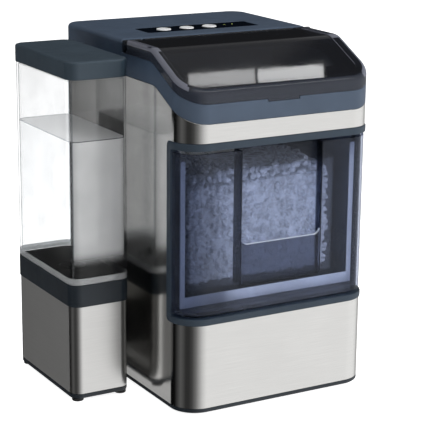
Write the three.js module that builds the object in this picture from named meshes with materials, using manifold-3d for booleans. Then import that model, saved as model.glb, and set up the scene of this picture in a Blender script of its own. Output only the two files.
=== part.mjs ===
// A countertop nugget ice maker with a pull-out ice drawer, a sloped lid and a lift-off side water tank.
// Millimetres, +Z up. Inside the machine group X runs right from the main unit's left side, Y runs back from its
// front face and Z runs up from the surface that it stands on.
import * as THREE from "three";
import { mergeVertices } from "three/addons/utils/BufferGeometryUtils.js";
import Module from "manifold-3d";

const wasm = await Module();
wasm.setup();

// ---------------------------------------------------------------------------------------------------------------
// Driving dimensions
// ---------------------------------------------------------------------------------------------------------------
const BODY = { width: 257, depth: 321, height: 420, frontRadius: 32, backRadius: 22 };
const TANK = { width: 77, depth: 165, front: 102, gap: 15, radius: 14, height: 407 };
const GAP = 0.3; // left between touching pieces
const SHEET = 1.4; // steel sheet
const WALL = 3; // moulded plastic wall
const SLOPE = Math.tan(THREE.MathUtils.degToRad(26)); // the lid's and the cap's common fall towards the front
const SLOPE_BLEND = 30; // radius where the slope turns into the flat top
const BODY_ARC_STEPS = 5; // segments in a quarter turn of the main unit's corners
const ARC_STEPS = 3; // the same for small corners
const ACROSS = [-5, BODY.width + 5]; // past both sides of the main unit

const FOOT_INSET = { side: 34, front: 34, back: 30 };
const PAN = { bottom: 2, top: 7.2, floor: 5, rim: 22 };
const STEEL = { bottom: 7.5, top: 378.7 };
const CAP_EDGE = { flat: 379, front: 344 }; // heights of the cap's lower edge: along the sides, and at the front
const LID_EDGE = { flat: 405, front: 366.5 }; // the same for the lid's lower edge
const LID_TOP = { flat: BODY.height, front: 381 };
const LID_SEAT = 0.3; // the lid rests this far above the cap's deck
const HINGE = { y: 148.3, z: 412.5, radius: 7.5, pin: 1.6, bore: 1.9, lugRadius: 5, leftX: 23.8, lugWidth: 3.5 };
const DECK = 3.2; // thickness of the cap's deck under the lid
const STEP_Y = 156.8; // where the cap rises behind the lid
const LID_CORNER = 4; // plan radius of the lid's rear corners
const LID_TAB = { x0: 108, x1: 149, bottom: 363.6, depth: 3 };
const MOUTH = { x0: 26, x1: 231, y0: 46, y1: 138 }; // the opening under the lid

const FRAME_PROUD = 1.5; // the drawer frame stands this far out of the steel
const WINDOW = { x0: 6, x1: 251, bottom: 116.5, top: 313.5, wrap: 32, frameBottom: 109, frameTop: 322, back: 41 };
const BAY = { x0: 3.5, x1: 253.5, y0: 44, y1: 224, bottom: 110.3, wall: 1.7, floor: 113 };
const DRAWER = { x0: 6.5, x1: 250.5, y0: 0.8, y1: 210, wrap: 31.4, bottom: 120.5, top: 310 };
const RECESS = { x0: 75, x1: 183, depth: 12, bottom: 150, gripTop: 199, gripRadius: 9 };
const BIN = { x0: 24, x1: 233, y0: 40, y1: 205, bottom: 138, top: 278, radius: 12, wall: 2 };

const STRIP = { x0: 52.5, x1: 208.5, y0: 186.5, y1: 227.5, pocket: 2.5 };
const BUTTON = { radius: 9, proud: 1, bottom: 409, flange: 10.6, y: 206, firstX: 83, pitch: 32 };
const BUTTON_NAMES = ["power_button", "clean_button", "light_button"];
const INDICATOR_PLACES = [[172, 212], [184, 213]];

const REAR = { x0: 24, x1: 233, y: 318, bottom: 22.3 };
const VENTS = { columns: [36, 136], length: 85, rows: 8, bottom: 56, pitch: 13, height: 5 };
const SCREW_PLACES = [[30, 40], [227, 40], [30, 370], [227, 370]];
const GLAND = { x: 208, z: 38, radius: 8 };
const DRAIN = { x: 62, z: 38, radius: 6 };

const AUGER = { x: 128.5, y: 268, bore: 18.5 };
const GEARS = { module: 1.5, drive: 30, pinion: 10, z0: 183, z1: 191 };
const PINION = { x: AUGER.x - (GEARS.module * (GEARS.drive + GEARS.pinion)) / 2, y: AUGER.y };
const CHUTE = { x0: 104, x1: 153, front: 214, back: 240, low: 326, high: 336 };
const FAN = { x: 174, y: 281, z: 104, hole: 46, blade: 43, hub: 14, blades: 5 };
const COMPRESSOR = { x: 58, y: 272, radius: 37, top: 110 };
const CONDENSER = { x0: 118, x1: 230, z0: 44, z1: 164 };
const RESERVOIR = { x0: 20, x1: 130, y0: 60, y1: 200, top: 90, stemX: 75, stemY: 130 };

const COLLAR = { bottom: 118, top: 144.5 };
const SOCKET = { x: -(TANK.gap + TANK.width / 2), y: TANK.front + TANK.depth / 2, radius: 16, floor: 122 };
const TANK_BODY = { bottom: COLLAR.top + GAP, floor: 150, foot: 153, shoulder: 385.7, rim: 397 };
const TANK_LID = { bottom: 386, top: TANK.height };
const DOCK = { y: 200, z: 56, hole: 5.5 }; // the water passage from the tank base to the main unit
const TANK_BASE_INSET = 1.2; // the tank base stands this far inside the collar
const TANK_FOOT_INSET = 10.5;
const NECK = { outer: 14, inner: 11, bottom: 128 };

const NAVY = 0x39424e;
const DARK_NAVY = 0x2a3540;
const BLUE_GREY = 0x67768a;
const STEEL_GREY = 0xc8c8c6;
const BLACK = 0x101214;
const SMOKE = 0x4a5566;
const CLEAR = 0xe8eef0;
const SILVER = 0xd4d6d8;
const RUBBER = 0x18191b;
const WHITE = 0xe6e6e2;
const GREY = 0x8c9096;
const COPPER = 0xb87333;
const GREEN = 0x1f5a36;

// ---------------------------------------------------------------------------------------------------------------
// Outlines
// ---------------------------------------------------------------------------------------------------------------
function arcPoints(x, y, radius, startTurn, steps) {
  const points = [];
  for (let i = 0; i <= steps; i++) {
    const angle = ((startTurn + i / steps) * Math.PI) / 2;
    points.push(new THREE.Vector2(x + radius * Math.cos(angle), y + radius * Math.sin(angle)));
  }
  return points;
}

// A rectangle whose two front and two back corners have their own radii.
function roundedRect(x0, x1, y0, y1, frontRadius, backRadius = frontRadius, steps = ARC_STEPS) {
  return new THREE.Shape([
    ...arcPoints(x1 - frontRadius, y0 + frontRadius, frontRadius, -1, steps),
    ...arcPoints(x1 - backRadius, y1 - backRadius, backRadius, 0, steps),
    ...arcPoints(x0 + backRadius, y1 - backRadius, backRadius, 1, steps),
    ...arcPoints(x0 + frontRadius, y0 + frontRadius, frontRadius, 2, steps),
  ]);
}

function rectangle(width, height) {
  const [x, y] = [width / 2, height / 2];
  return new THREE.Shape([[-x, -y], [x, -y], [x, y], [-x, y]].map((corner) => new THREE.Vector2(...corner)));
}

// The main unit's plan outline, drawn in by an inset.
function bodyPlan(inset) {
  const { width, depth, frontRadius, backRadius } = BODY;
  const radii = [frontRadius - inset, backRadius - inset];
  return roundedRect(inset, width - inset, inset, depth - inset, ...radii, BODY_ARC_STEPS);
}

// The side tank's plan outline, drawn in by an inset.
function tankPlan(inset) {
  const x0 = -TANK.gap - TANK.width;
  const y1 = TANK.front + TANK.depth;
  return roundedRect(x0 + inset, -TANK.gap - inset, TANK.front + inset, y1 - inset, TANK.radius - inset);
}

// Points (y, z) of a line that rises from the front and blends into a flat top.
function shoulderLine(edge, drop = 0) {
  const flat = edge.flat - drop;
  const angle = Math.atan(SLOPE);
  const knee = (edge.flat - edge.front) / SLOPE;
  const tangent = SLOPE_BLEND * Math.tan(angle / 2);
  const centre = new THREE.Vector2(knee + tangent, flat - SLOPE_BLEND);
  const points = [new THREE.Vector2(-20, edge.front - drop - 20 * SLOPE)];
  const steps = 4;
  for (let i = 0; i <= steps; i++) {
    const turn = angle * (1 - i / steps);
    const onArc = new THREE.Vector2(-Math.sin(turn), Math.cos(turn)).multiplyScalar(SLOPE_BLEND);
    points.push(onArc.add(centre));
  }
  return points;
}

// The region above or below a shoulder line, up to y = back.
function shoulderRegion(edge, side, { drop = 0, back = 400 } = {}) {
  const line = shoulderLine(edge, drop);
  const far = side === "above" ? 500 : -20;
  const outline = [...line, new THREE.Vector2(back, edge.flat - drop)];
  outline.push(new THREE.Vector2(back, far), new THREE.Vector2(-20, far));
  return new THREE.Shape(outline);
}

// A spur gear's outline: straight-flanked teeth, thinned so that they run with backlash.
function gearOutline(teeth, module, turned = 0) {
  const pitchRadius = (teeth * module) / 2;
  const root = pitchRadius - 1.25 * module;
  const tip = pitchRadius + 0.9 * module;
  const pitchAngle = (2 * Math.PI) / teeth;
  const shape = [];
  for (let i = 0; i < teeth; i++) {
    const middle = i * pitchAngle + turned;
    for (const [radius, share] of [[root, -0.3], [tip, -0.1], [tip, 0.1], [root, 0.3]]) {
      const angle = middle + share * pitchAngle;
      shape.push(new THREE.Vector2(radius * Math.cos(angle), radius * Math.sin(angle)));
    }
  }
  return new THREE.Shape(shape);
}

// ---------------------------------------------------------------------------------------------------------------
// Solids
// ---------------------------------------------------------------------------------------------------------------
function solidOf(geometry) {
  const bare = geometry.index ? geometry.toNonIndexed() : geometry.clone();
  bare.deleteAttribute("normal");
  bare.deleteAttribute("uv");
  const merged = mergeVertices(bare, 1e-4);
  return new wasm.Manifold(
    new wasm.Mesh({
      numProp: 3,
      vertProperties: merged.attributes.position.array,
      triVerts: new Uint32Array(merged.index.array),
    }),
  );
}

function box(x0, x1, y0, y1, z0, z1) {
  const geometry = new THREE.BoxGeometry(x1 - x0, y1 - y0, z1 - z0);
  return solidOf(geometry.translate((x0 + x1) / 2, (y0 + y1) / 2, (z0 + z1) / 2));
}

// A plan outline raised from z0 to z1.
function prism(shape, z0, z1) {
  const options = { depth: z1 - z0, bevelEnabled: false };
  return solidOf(new THREE.ExtrudeGeometry(shape, options).translate(0, 0, z0));
}

// The same with its top and bottom edges rounded over.
function softPrism(shape, z0, z1, bevel) {
  const options = {
    depth: z1 - z0 - 2 * bevel,
    bevelThickness: bevel,
    bevelSize: bevel,
    bevelOffset: -bevel,
    bevelSegments: 2,
  };
  return solidOf(new THREE.ExtrudeGeometry(shape, options).translate(0, 0, z0 + bevel));
}

// A (y, z) outline carried along X.
function sideProfile(shape, x0, x1) {
  const geometry = new THREE.ExtrudeGeometry(shape, { depth: x1 - x0, bevelEnabled: false });
  const toSide = new THREE.Matrix4().makeBasis(
    new THREE.Vector3(0, 1, 0),
    new THREE.Vector3(0, 0, 1),
    new THREE.Vector3(1, 0, 0),
  );
  return solidOf(geometry.applyMatrix4(toSide).translate(x0, 0, 0));
}

// An (x, z) outline carried along Y.
function frontProfile(shape, y0, y1) {
  const options = { depth: y1 - y0, bevelEnabled: false, curveSegments: ARC_STEPS };
  return solidOf(new THREE.ExtrudeGeometry(shape, options).rotateX(Math.PI / 2).translate(0, y1, 0));
}

// A cylinder between two places on a line along X, Y or Z through (a, b), the other two coordinates in order.
function rod(axis, radius, from, to, a, b, segments = 12) {
  const geometry = new THREE.CylinderGeometry(radius, radius, to - from, segments);
  const middle = (from + to) / 2;
  if (axis === "x") return solidOf(geometry.rotateZ(-Math.PI / 2).translate(middle, a, b));
  if (axis === "y") return solidOf(geometry.translate(a, middle, b));
  return solidOf(geometry.rotateX(Math.PI / 2).translate(a, b, middle));
}

// A body of revolution about a vertical axis through (x, y). Its (radius, z) points start and end on the axis.
function turned(points, x, y, segments = 16) {
  const profile = points.map(([radius, z]) => new THREE.Vector2(radius, z));
  return solidOf(new THREE.LatheGeometry(profile, segments).rotateX(Math.PI / 2).translate(x, y, 0));
}

// A tube of round section along a smooth curve through the given points.
function tube(points, radius, steps, sides = 8) {
  const path = new THREE.CatmullRomCurve3(points.map((point) => new THREE.Vector3(...point)));
  const section = new THREE.Shape();
  for (let i = 0; i < sides; i++) {
    const angle = (2 * Math.PI * i) / sides;
    const place = [radius * Math.cos(angle), radius * Math.sin(angle)];
    if (i === 0) section.moveTo(...place);
    else section.lineTo(...place);
  }
  return solidOf(new THREE.ExtrudeGeometry(section, { steps, extrudePath: path }));
}

function union(solids) {
  return solids.reduce((sum, solid) => sum.add(solid));
}

function geometryOf(solid) {
  const mesh = solid.getMesh();
  const positions = new Float32Array(mesh.numVert * 3);
  for (let i = 0; i < mesh.numVert; i++) {
    positions.set(mesh.vertProperties.subarray(i * mesh.numProp, i * mesh.numProp + 3), i * 3);
  }
  const geometry = new THREE.BufferGeometry();
  geometry.setAttribute("position", new THREE.BufferAttribute(positions, 3));
  geometry.setIndex(new THREE.BufferAttribute(mesh.triVerts, 1));
  geometry.computeVertexNormals();
  return geometry;
}

// ---------------------------------------------------------------------------------------------------------------
// The object: one group whose origin is below the middle of the whole, on the surface it stands on
// ---------------------------------------------------------------------------------------------------------------
const iceMaker = new THREE.Group();
const machine = new THREE.Group();
const leftmost = -TANK.gap - TANK.width;
const rightmost = BODY.width + FRAME_PROUD;
machine.position.set(-(leftmost + rightmost) / 2, -(BODY.depth - FRAME_PROUD) / 2, 0);
iceMaker.add(machine);

function addPart(name, solid, color, roughness, metalness = 0, opacity = 1) {
  const look = { color, roughness, metalness, opacity, transparent: opacity < 1 };
  const mesh = new THREE.Mesh(geometryOf(solid), new THREE.MeshStandardMaterial(look));
  mesh.name = name;
  machine.add(mesh);
}

// ---- Main unit: shell ----

function basePan() {
  const flange = prism(bodyPlan(0), PAN.bottom, PAN.top);
  const rim = prism(bodyPlan(SHEET + GAP), PAN.top - 1, PAN.rim);
  const hollow = prism(bodyPlan(SHEET + GAP + WALL), PAN.floor, PAN.rim + 1);
  const holes = footPlaces().map(([x, y]) => rod("z", 4.4, 0, PAN.floor + 1, x, y));
  return flange.add(rim).subtract(hollow).subtract(union(holes));
}

function footPlaces() {
  const places = [];
  for (const x of [FOOT_INSET.side, BODY.width - FOOT_INSET.side]) {
    for (const y of [FOOT_INSET.front, BODY.depth - FOOT_INSET.back]) places.push([x, y]);
  }
  return places;
}

function foot([x, y]) {
  const profile = [[0, 0], [10, 0], [11, 0.7], [11, 1.7], [4, 1.7], [4, 5], [0, 5]];
  return turned(profile, x, y, 12);
}

function steelWrap() {
  const sheet = prism(bodyPlan(0), STEEL.bottom, STEEL.top).subtract(
    prism(bodyPlan(SHEET), STEEL.bottom - 1, STEEL.top + 1),
  );
  const aboveCapEdge = sideProfile(shoulderRegion(CAP_EDGE, "above", { drop: GAP }), ...ACROSS);
  const { frameBottom, frameTop, back } = WINDOW;
  const window = box(...ACROSS, -5, back + GAP, frameBottom - GAP, frameTop + GAP);
  const rearOpening = box(REAR.x0, REAR.x1, BODY.depth - 8, BODY.depth + 5, 0, 400);
  const hoseHole = rod("x", DOCK.hole, -5, 5, DOCK.y, DOCK.z, 12);
  return sheet.subtract(aboveCapEdge).subtract(window).subtract(rearOpening).subtract(hoseHole);
}

function ventSlots() {
  const { columns, length, rows, bottom, pitch, height } = VENTS;
  const slots = [];
  for (const x of columns) {
    for (let row = 0; row < rows; row++) {
      const z = bottom + pitch * row;
      slots.push(box(x, x + length, REAR.y - 5, REAR.y + 5, z, z + height));
    }
  }
  return union(slots);
}

function rearPanel() {
  const panel = box(REAR.x0 + GAP, REAR.x1 - GAP, REAR.y, BODY.depth - GAP, REAR.bottom, STEEL.top);
  const holes = SCREW_PLACES.map(([x, z]) => rod("y", 2.2, REAR.y - 5, REAR.y + 5, x, z, 10));
  holes.push(rod("y", GLAND.radius + GAP, REAR.y - 5, REAR.y + 5, GLAND.x, GLAND.z));
  holes.push(rod("y", DRAIN.radius + GAP, REAR.y - 5, REAR.y + 5, DRAIN.x, DRAIN.z));
  return panel.subtract(ventSlots()).subtract(union(holes));
}

function rearScrew([x, z]) {
  const head = rod("y", 4, BODY.depth - GAP + 0.05, BODY.depth, x, z, 12);
  return head.add(rod("y", 1.9, REAR.y - 6, BODY.depth, x, z, 10));
}

// A bush that the mains lead would leave through, with its bore open.
function cordGland() {
  const flange = rod("y", GLAND.radius + 2, REAR.y - 2.5, REAR.y - GAP, GLAND.x, GLAND.z);
  const sleeve = rod("y", GLAND.radius, REAR.y - 2.5, BODY.depth - GAP, GLAND.x, GLAND.z);
  return flange.add(sleeve).subtract(rod("y", 4.2, 300, 330, GLAND.x, GLAND.z));
}

function drainSpout() {
  const flange = rod("y", DRAIN.radius + 3, REAR.y - 3, REAR.y - GAP, DRAIN.x, DRAIN.z);
  const pipe = rod("y", DRAIN.radius, REAR.y - 3, BODY.depth - 2, DRAIN.x, DRAIN.z);
  return flange.add(pipe).subtract(rod("y", 4, 295, 330, DRAIN.x, DRAIN.z));
}

function drainCap() {
  const plug = rod("y", 3.6, BODY.depth - 9, BODY.depth - 1.5, DRAIN.x, DRAIN.z);
  return plug.add(rod("y", 5.6, BODY.depth - 1.7, BODY.depth, DRAIN.x, DRAIN.z));
}

function topCap() {
  const block = softPrism(bodyPlan(0), 320, BODY.height, 5);
  const belowEdge = sideProfile(shoulderRegion(CAP_EDGE, "below"), ...ACROSS);
  const lidSpace = lidSpaceSolid();
  const deckDrop = LID_SEAT + DECK;
  const frontHollow = prism(bodyPlan(WALL), 300, 430).intersect(
    sideProfile(shoulderRegion(LID_EDGE, "below", { drop: deckDrop }), ...ACROSS),
  );
  const behindStep = box(-5, 300, STEP_Y + WALL, 400, 290, 430);
  const rearHollow = prism(bodyPlan(WALL), 300, BODY.height - 5).intersect(behindStep);
  const mouth = box(MOUTH.x0, MOUTH.x1, MOUTH.y0, MOUTH.y1, 300, 430);
  const pocket = box(STRIP.x0, STRIP.x1, STRIP.y0, STRIP.y1, BODY.height - STRIP.pocket, 430);
  const holes = buttonPlaces().map((x) => rod("z", BUTTON.radius + 0.6, 400, 430, x, BUTTON.y, 20));
  holes.push(...INDICATOR_PLACES.map(([x, y]) => rod("z", 2, 400, 430, x, y, 10)));
  const notch = box(LID_TAB.x0 - 1, LID_TAB.x1 + 1, -2, 3.6, LID_TAB.bottom - GAP, LID_TAB.bottom + 8);
  const lugs = union([hingeLug(HINGE.leftX), hingeLug(BODY.width - HINGE.leftX)]);
  return block
    .subtract(belowEdge)
    .subtract(lidSpace)
    .subtract(frontHollow)
    .subtract(rearHollow)
    .subtract(mouth)
    .subtract(pocket)
    .subtract(union(holes))
    .subtract(notch)
    .add(lugs);
}

// The space that the closed lid fills above the cap's deck, open to both sides.
function lidSpaceSolid() {
  return sideProfile(shoulderRegion(LID_EDGE, "above", { drop: LID_SEAT, back: STEP_Y }), ...ACROSS);
}

// An upright ear on the cap's deck that holds a hinge pin.
function hingeLug(x) {
  const half = HINGE.lugWidth / 2;
  const foot = box(x - half, x + half, HINGE.y - HINGE.lugRadius, HINGE.y + HINGE.lugRadius, 402.5, HINGE.z);
  const head = rod("x", HINGE.lugRadius, x - half, x + half, HINGE.y, HINGE.z);
  return foot.add(head).subtract(rod("x", HINGE.bore, x - 5, x + 5, HINGE.y, HINGE.z, 12));
}

function lidHingePin(x) {
  return rod("x", HINGE.pin, x - 6, x + 6, HINGE.y, HINGE.z, 12);
}

function lid() {
  const under = sideProfile(shoulderRegion(LID_EDGE, "below"), ...ACROSS);
  const over = sideProfile(shoulderRegion(LID_TOP, "above"), ...ACROSS);
  const innerOver = sideProfile(shoulderRegion(LID_TOP, "above", { drop: 2.8 }), ...ACROSS);
  const rearEdge = HINGE.y + HINGE.radius;
  const plan = roundedRect(0, BODY.width, 0, rearEdge, BODY.frontRadius, LID_CORNER, BODY_ARC_STEPS);
  const frontPart = prism(plan, 340, BODY.height).intersect(box(-5, 300, -5, HINGE.y, 300, 430));
  const bullnose = rod("x", HINGE.radius, 0, BODY.width, HINGE.y, HINGE.z, 24).intersect(prism(plan, 340, 430));
  const side = WALL + 0.2;
  const innerRadii = [BODY.frontRadius - side, 6];
  const innerBack = HINGE.y - HINGE.radius;
  const innerPlan = roundedRect(side, BODY.width - side, side, innerBack, ...innerRadii, BODY_ARC_STEPS);
  const hollow = prism(innerPlan, 340, 430).subtract(innerOver);
  const tab = box(LID_TAB.x0, LID_TAB.x1, 0, LID_TAB.depth, LID_TAB.bottom, LID_EDGE.front + 4);
  const relief = [HINGE.leftX, BODY.width - HINGE.leftX].map((x) => hingeRelief(x));
  return frontPart
    .subtract(under)
    .subtract(over)
    .add(bullnose)
    .subtract(hollow)
    .add(tab)
    .subtract(union(relief));
}

// The slot around a cap lug, and the blind bore that its pin turns in.
function hingeRelief(x) {
  const half = HINGE.lugWidth / 2 + GAP;
  const slot = box(x - half, x + half, HINGE.y - 6.8, HINGE.y + 20, 395, 430);
  return slot.add(rod("x", HINGE.bore, x - 6.5, x + 6.5, HINGE.y, HINGE.z, 12));
}

// ---- Controls ----

function buttonPlaces() {
  return BUTTON_NAMES.map((_, i) => BUTTON.firstX + i * BUTTON.pitch);
}

function controlStrip() {
  const { x0, x1, y0, y1, pocket } = STRIP;
  const plate = prism(
    roundedRect(x0 + GAP, x1 - GAP, y0 + GAP, y1 - GAP, 3),
    BODY.height - pocket + GAP,
    BODY.height - 0.4,
  );
  const holes = buttonPlaces().map((x) => rod("z", BUTTON.radius + 0.4, 400, 430, x, BUTTON.y, 20));
  holes.push(...INDICATOR_PLACES.map(([x, y]) => rod("z", 1.8, 400, 430, x, y, 10)));
  return plate.subtract(union(holes));
}

function pushButton(x) {
  const top = BODY.height + BUTTON.proud;
  const { radius, bottom, flange } = BUTTON;
  const profile = [[0, bottom], [flange, bottom], [flange, bottom + 2], [radius, bottom + 2]];
  profile.push([radius, top - 1.2], [radius - 1.6, top], [0, top]);
  return turned(profile, x, BUTTON.y, 18);
}

function indicatorLens([x, y]) {
  return rod("z", 1.5, 409, BODY.height - 0.4, x, y, 10);
}

function controlBoard() {
  const board = box(STRIP.x0 + 2, STRIP.x1 - 2, STRIP.y0 + 2, STRIP.y1 - 2, 402, 403.6);
  const switches = buttonPlaces().map((x) => box(x - 3, x + 3, BUTTON.y - 3, BUTTON.y + 3, 403, 407.4));
  const lamps = INDICATOR_PLACES.map(([x, y]) => rod("z", 1.5, 403, 408, x, y, 8));
  return board.add(union([...switches, ...lamps]));
}

// ---- Drawer and its bay ----

// The frame is a bar above and below the drawer; two upright bars behind the corners join them.
function drawerFrame() {
  const { x0, x1, bottom, top, wrap, frameBottom, frameTop, back } = WINDOW;
  const ring = prism(bodyPlan(-FRAME_PROUD), frameBottom, frameTop).subtract(
    prism(bodyPlan(10), frameBottom - 1, frameTop + 1),
  );
  const front = ring.intersect(box(...ACROSS, -5, back, 0, 400));
  const roundTheCorners = box(...ACROSS, -5, wrap, bottom, top);
  return front.subtract(box(x0, x1, -5, 60, bottom, top)).subtract(roundTheCorners);
}

function drawerBay() {
  const { x0, x1, y0, y1, bottom, wall, floor } = BAY;
  const inside = box(x0 + wall, x1 - wall, y0 - 1, y1 - wall, floor, 421);
  const shell = box(x0, x1, y0, y1, bottom, 420).subtract(inside);
  const underDeck = sideProfile(shoulderRegion(LID_EDGE, "above", { drop: LID_SEAT + DECK + GAP }), -5, 300);
  const chuteHole = box(CHUTE.x0 - GAP, CHUTE.x1 + GAP, y1 - 5, y1 + 5, CHUTE.low - 4, CHUTE.high + 24);
  const runners = [x0 + wall, x1 - wall - 1].map((x) => box(x, x + 1, y0 + 4, y1 - 4, floor - 1, 119.8));
  const rests = [60, 190].map((x) => box(x, x + 10, y0 + 4, y1 - 4, floor - 1, DRAWER.bottom - GAP));
  return shell.subtract(underDeck).subtract(chuteHole).add(union([...runners, ...rests]));
}

function iceDrawer() {
  const { y0, bottom, top } = DRAWER;
  const outer = prism(bodyPlan(y0), bottom, top).intersect(drawerExtent(0));
  const inner = prism(bodyPlan(y0 + WALL), bottom + WALL, top + 1).intersect(drawerExtent(WALL));
  const recessOuter = box(RECESS.x0 - WALL, RECESS.x1 + WALL, 5, RECESS.depth + WALL, RECESS.bottom - WALL, top);
  const recess = box(RECESS.x0, RECESS.x1, -5, RECESS.depth, RECESS.bottom, top + 1);
  return outer.subtract(inner).add(recessOuter.add(frontBlock())).subtract(recess).add(gripPlate());
}

// The drawer's front goes round both corners, and the box behind it is narrower.
function drawerExtent(inset) {
  const { x0, x1, y1, wrap } = DRAWER;
  const front = box(...ACROSS, -5, wrap - inset, 50, 400);
  return front.add(box(x0 + inset, x1 - inset, -5, y1 - inset, 50, 400));
}

// The stretch of front wall that the recess is cut through.
function frontBlock() {
  return box(RECESS.x0 - WALL, RECESS.x1 + WALL, DRAWER.y0, 6, RECESS.bottom - WALL, DRAWER.top);
}

// The low front plate that fingers hook behind; its top edge sweeps up at both ends.
function gripPlate() {
  const { x0, x1, bottom, gripTop, gripRadius } = RECESS;
  const shape = new THREE.Shape();
  shape.moveTo(x0 - 0.5, bottom - 0.5);
  shape.lineTo(x1 + 0.5, bottom - 0.5);
  shape.lineTo(x1 + 0.5, gripTop + gripRadius);
  shape.lineTo(x1, gripTop + gripRadius);
  shape.absarc(x1 - gripRadius, gripTop + gripRadius, gripRadius, 0, -Math.PI / 2, true);
  shape.absarc(x0 + gripRadius, gripTop + gripRadius, gripRadius, -Math.PI / 2, -Math.PI, true);
  shape.lineTo(x0 - 0.5, gripTop + gripRadius);
  return frontProfile(shape, DRAWER.y0, DRAWER.y0 + WALL);
}

function iceBin() {
  const { x0, x1, y0, y1, bottom, top, radius, wall } = BIN;
  const outer = prism(roundedRect(x0, x1, y0, y1, radius), bottom, top);
  const inner = prism(
    roundedRect(x0 + wall, x1 - wall, y0 + wall, y1 - wall, radius - wall),
    bottom + wall,
    top + 1,
  );
  const drains = [60, 120, 180].map((y) => box(60, 197, y, y + 5, bottom - 1, bottom + 3));
  const ribs = [40, 200].map((x) => box(x, x + 4, 60, 190, DRAWER.bottom + WALL + GAP, bottom + 1));
  return outer.subtract(inner).subtract(union(drains)).add(union(ribs));
}

// ---- Ice making: evaporator, auger and gears ----

function iceChute() {
  const { x0, x1, front, back, low, high } = CHUTE;
  const outline = (drop, lift) => {
    const points = [[front, low + drop], [back, high + drop], [back, high + lift], [front, low + lift]];
    return new THREE.Shape(points.map(([y, z]) => new THREE.Vector2(y, z)));
  };
  return sideProfile(outline(-2, 20), x0, x1).subtract(sideProfile(outline(0, 40), x0 + 2, x1 - 2));
}

function evaporatorBarrel() {
  const { x, y, bore } = AUGER;
  const barrel = rod("z", 24, 196, 326, x, y, 20).subtract(rod("z", bore, 190, 330, x, y, 20));
  const flange = box(86, 158, 238, 298, 196, 199).subtract(rod("z", bore, 190, 200, x, y, 20));
  return barrel.add(flange);
}

// A shaft with a helical flight around it.
function auger() {
  const shaft = rod("z", 5, GEARS.z0 - 1, 344, AUGER.x, AUGER.y);
  const turns = 4;
  const options = { steps: turns * 12, extrudePath: new HelixCurve(10.8, turns, 206, 320) };
  const flight = solidOf(new THREE.ExtrudeGeometry(rectangle(2.4, 13), options).translate(AUGER.x, AUGER.y, 0));
  return shaft.add(flight);
}

class HelixCurve extends THREE.Curve {
  constructor(radius, turns, bottom, top) {
    super();
    Object.assign(this, { radius, turns, bottom, top });
  }

  getPoint(t, target = new THREE.Vector3()) {
    const angle = 2 * Math.PI * this.turns * t;
    const z = this.bottom + (this.top - this.bottom) * t;
    return target.set(this.radius * Math.cos(angle), this.radius * Math.sin(angle), z);
  }

  // Keeps the section's long side pointing at the axis.
  computeFrenetFrames(segments) {
    const tangents = [];
    const normals = [];
    const binormals = [];
    for (let i = 0; i <= segments; i++) {
      const t = i / segments;
      const angle = 2 * Math.PI * this.turns * t;
      const tangent = this.getTangentAt(t);
      const outward = new THREE.Vector3(Math.cos(angle), Math.sin(angle), 0);
      tangents.push(tangent);
      binormals.push(outward);
      normals.push(new THREE.Vector3().crossVectors(outward, tangent));
    }
    return { tangents, normals, binormals };
  }
}

// The dome on the barrel where ice is pressed into nuggets and leaves to the front.
function iceHead() {
  const dome = rod("z", 26, 326.3, 350, AUGER.x, AUGER.y, 20);
  const hollow = rod("z", 19, 320, 345.5, AUGER.x, AUGER.y, 20);
  const outlet = box(AUGER.x - 14, AUGER.x + 14, AUGER.y - 30, AUGER.y, 334, 345.5);
  return dome.subtract(hollow).subtract(outlet);
}

function gearCase() {
  const plan = (inset) => roundedRect(84 + inset, 160 - inset, 236 + inset, 300 - inset, 6);
  const cup = prism(plan(0), 178, 195.7).subtract(prism(plan(2.5), 181, 200));
  return cup.subtract(rod("z", 4, 170, 190, PINION.x, PINION.y, 12));
}

function driveGear() {
  const gear = prism(gearOutline(GEARS.drive, GEARS.module), GEARS.z0, GEARS.z1);
  return gear.subtract(rod("z", 5.4, 170, 200, 0, 0)).translate([AUGER.x, AUGER.y, 0]);
}

// The pinion sits on the drive gear's -X side, with a tooth gap facing it.
function motorPinion() {
  const halfPitch = Math.PI / GEARS.pinion;
  const gear = prism(gearOutline(GEARS.pinion, GEARS.module, halfPitch), GEARS.z0, GEARS.z1);
  return gear.add(rod("z", 2.5, 160, GEARS.z0 + 1, 0, 0, 12)).translate([PINION.x, PINION.y, 0]);
}

function augerMotor() {
  const can = rod("z", 21, 122, 177.7, PINION.x, PINION.y, 20);
  return can.subtract(rod("z", 3.4, 155, 180, PINION.x, PINION.y, 12));
}

// ---- Refrigeration ----

function compressor() {
  const { x, y, radius, top } = COMPRESSOR;
  const shell = [[0, 18], [radius, 18], [radius, top - 14], [radius - 6, top - 5], [radius - 18, top], [0, top]];
  const plate = box(x - 42, x + 42, y - 36, y + 36, 16, 19);
  const legs = [];
  for (const dx of [-34, 34]) {
    for (const dy of [-28, 28]) legs.push(rod("z", 5, PAN.floor + GAP, 17, x + dx, y + dy, 10));
  }
  return turned(shell, x, y).add(plate).add(union(legs));
}

function condenser() {
  const { x0, x1, z0, z1 } = CONDENSER;
  const block = box(x0, x1, 296, 314, z0, z1);
  const slots = [];
  for (let x = x0 + 6; x < x1 - 8; x += 15) slots.push(box(x, x + 10, 290, 320, z0 + 6, z1 - 6));
  return block.subtract(union(slots));
}

function fanShroud() {
  const { x, y, z, hole } = FAN;
  const plate = box(x - 52, x + 52, y - 11, y + 11, z - 60, z + 60).subtract(rod("y", hole, 250, 300, x, z, 24));
  const arms = [box(x - hole - 1, x + hole + 1, y - 11, y - 8, z - 4, z + 4)];
  arms.push(rod("y", 15, y - 20, y - 8, x, z));
  return plate.add(union(arms)).subtract(rod("y", 3, y - 12, y, x, z, 10));
}

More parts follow.
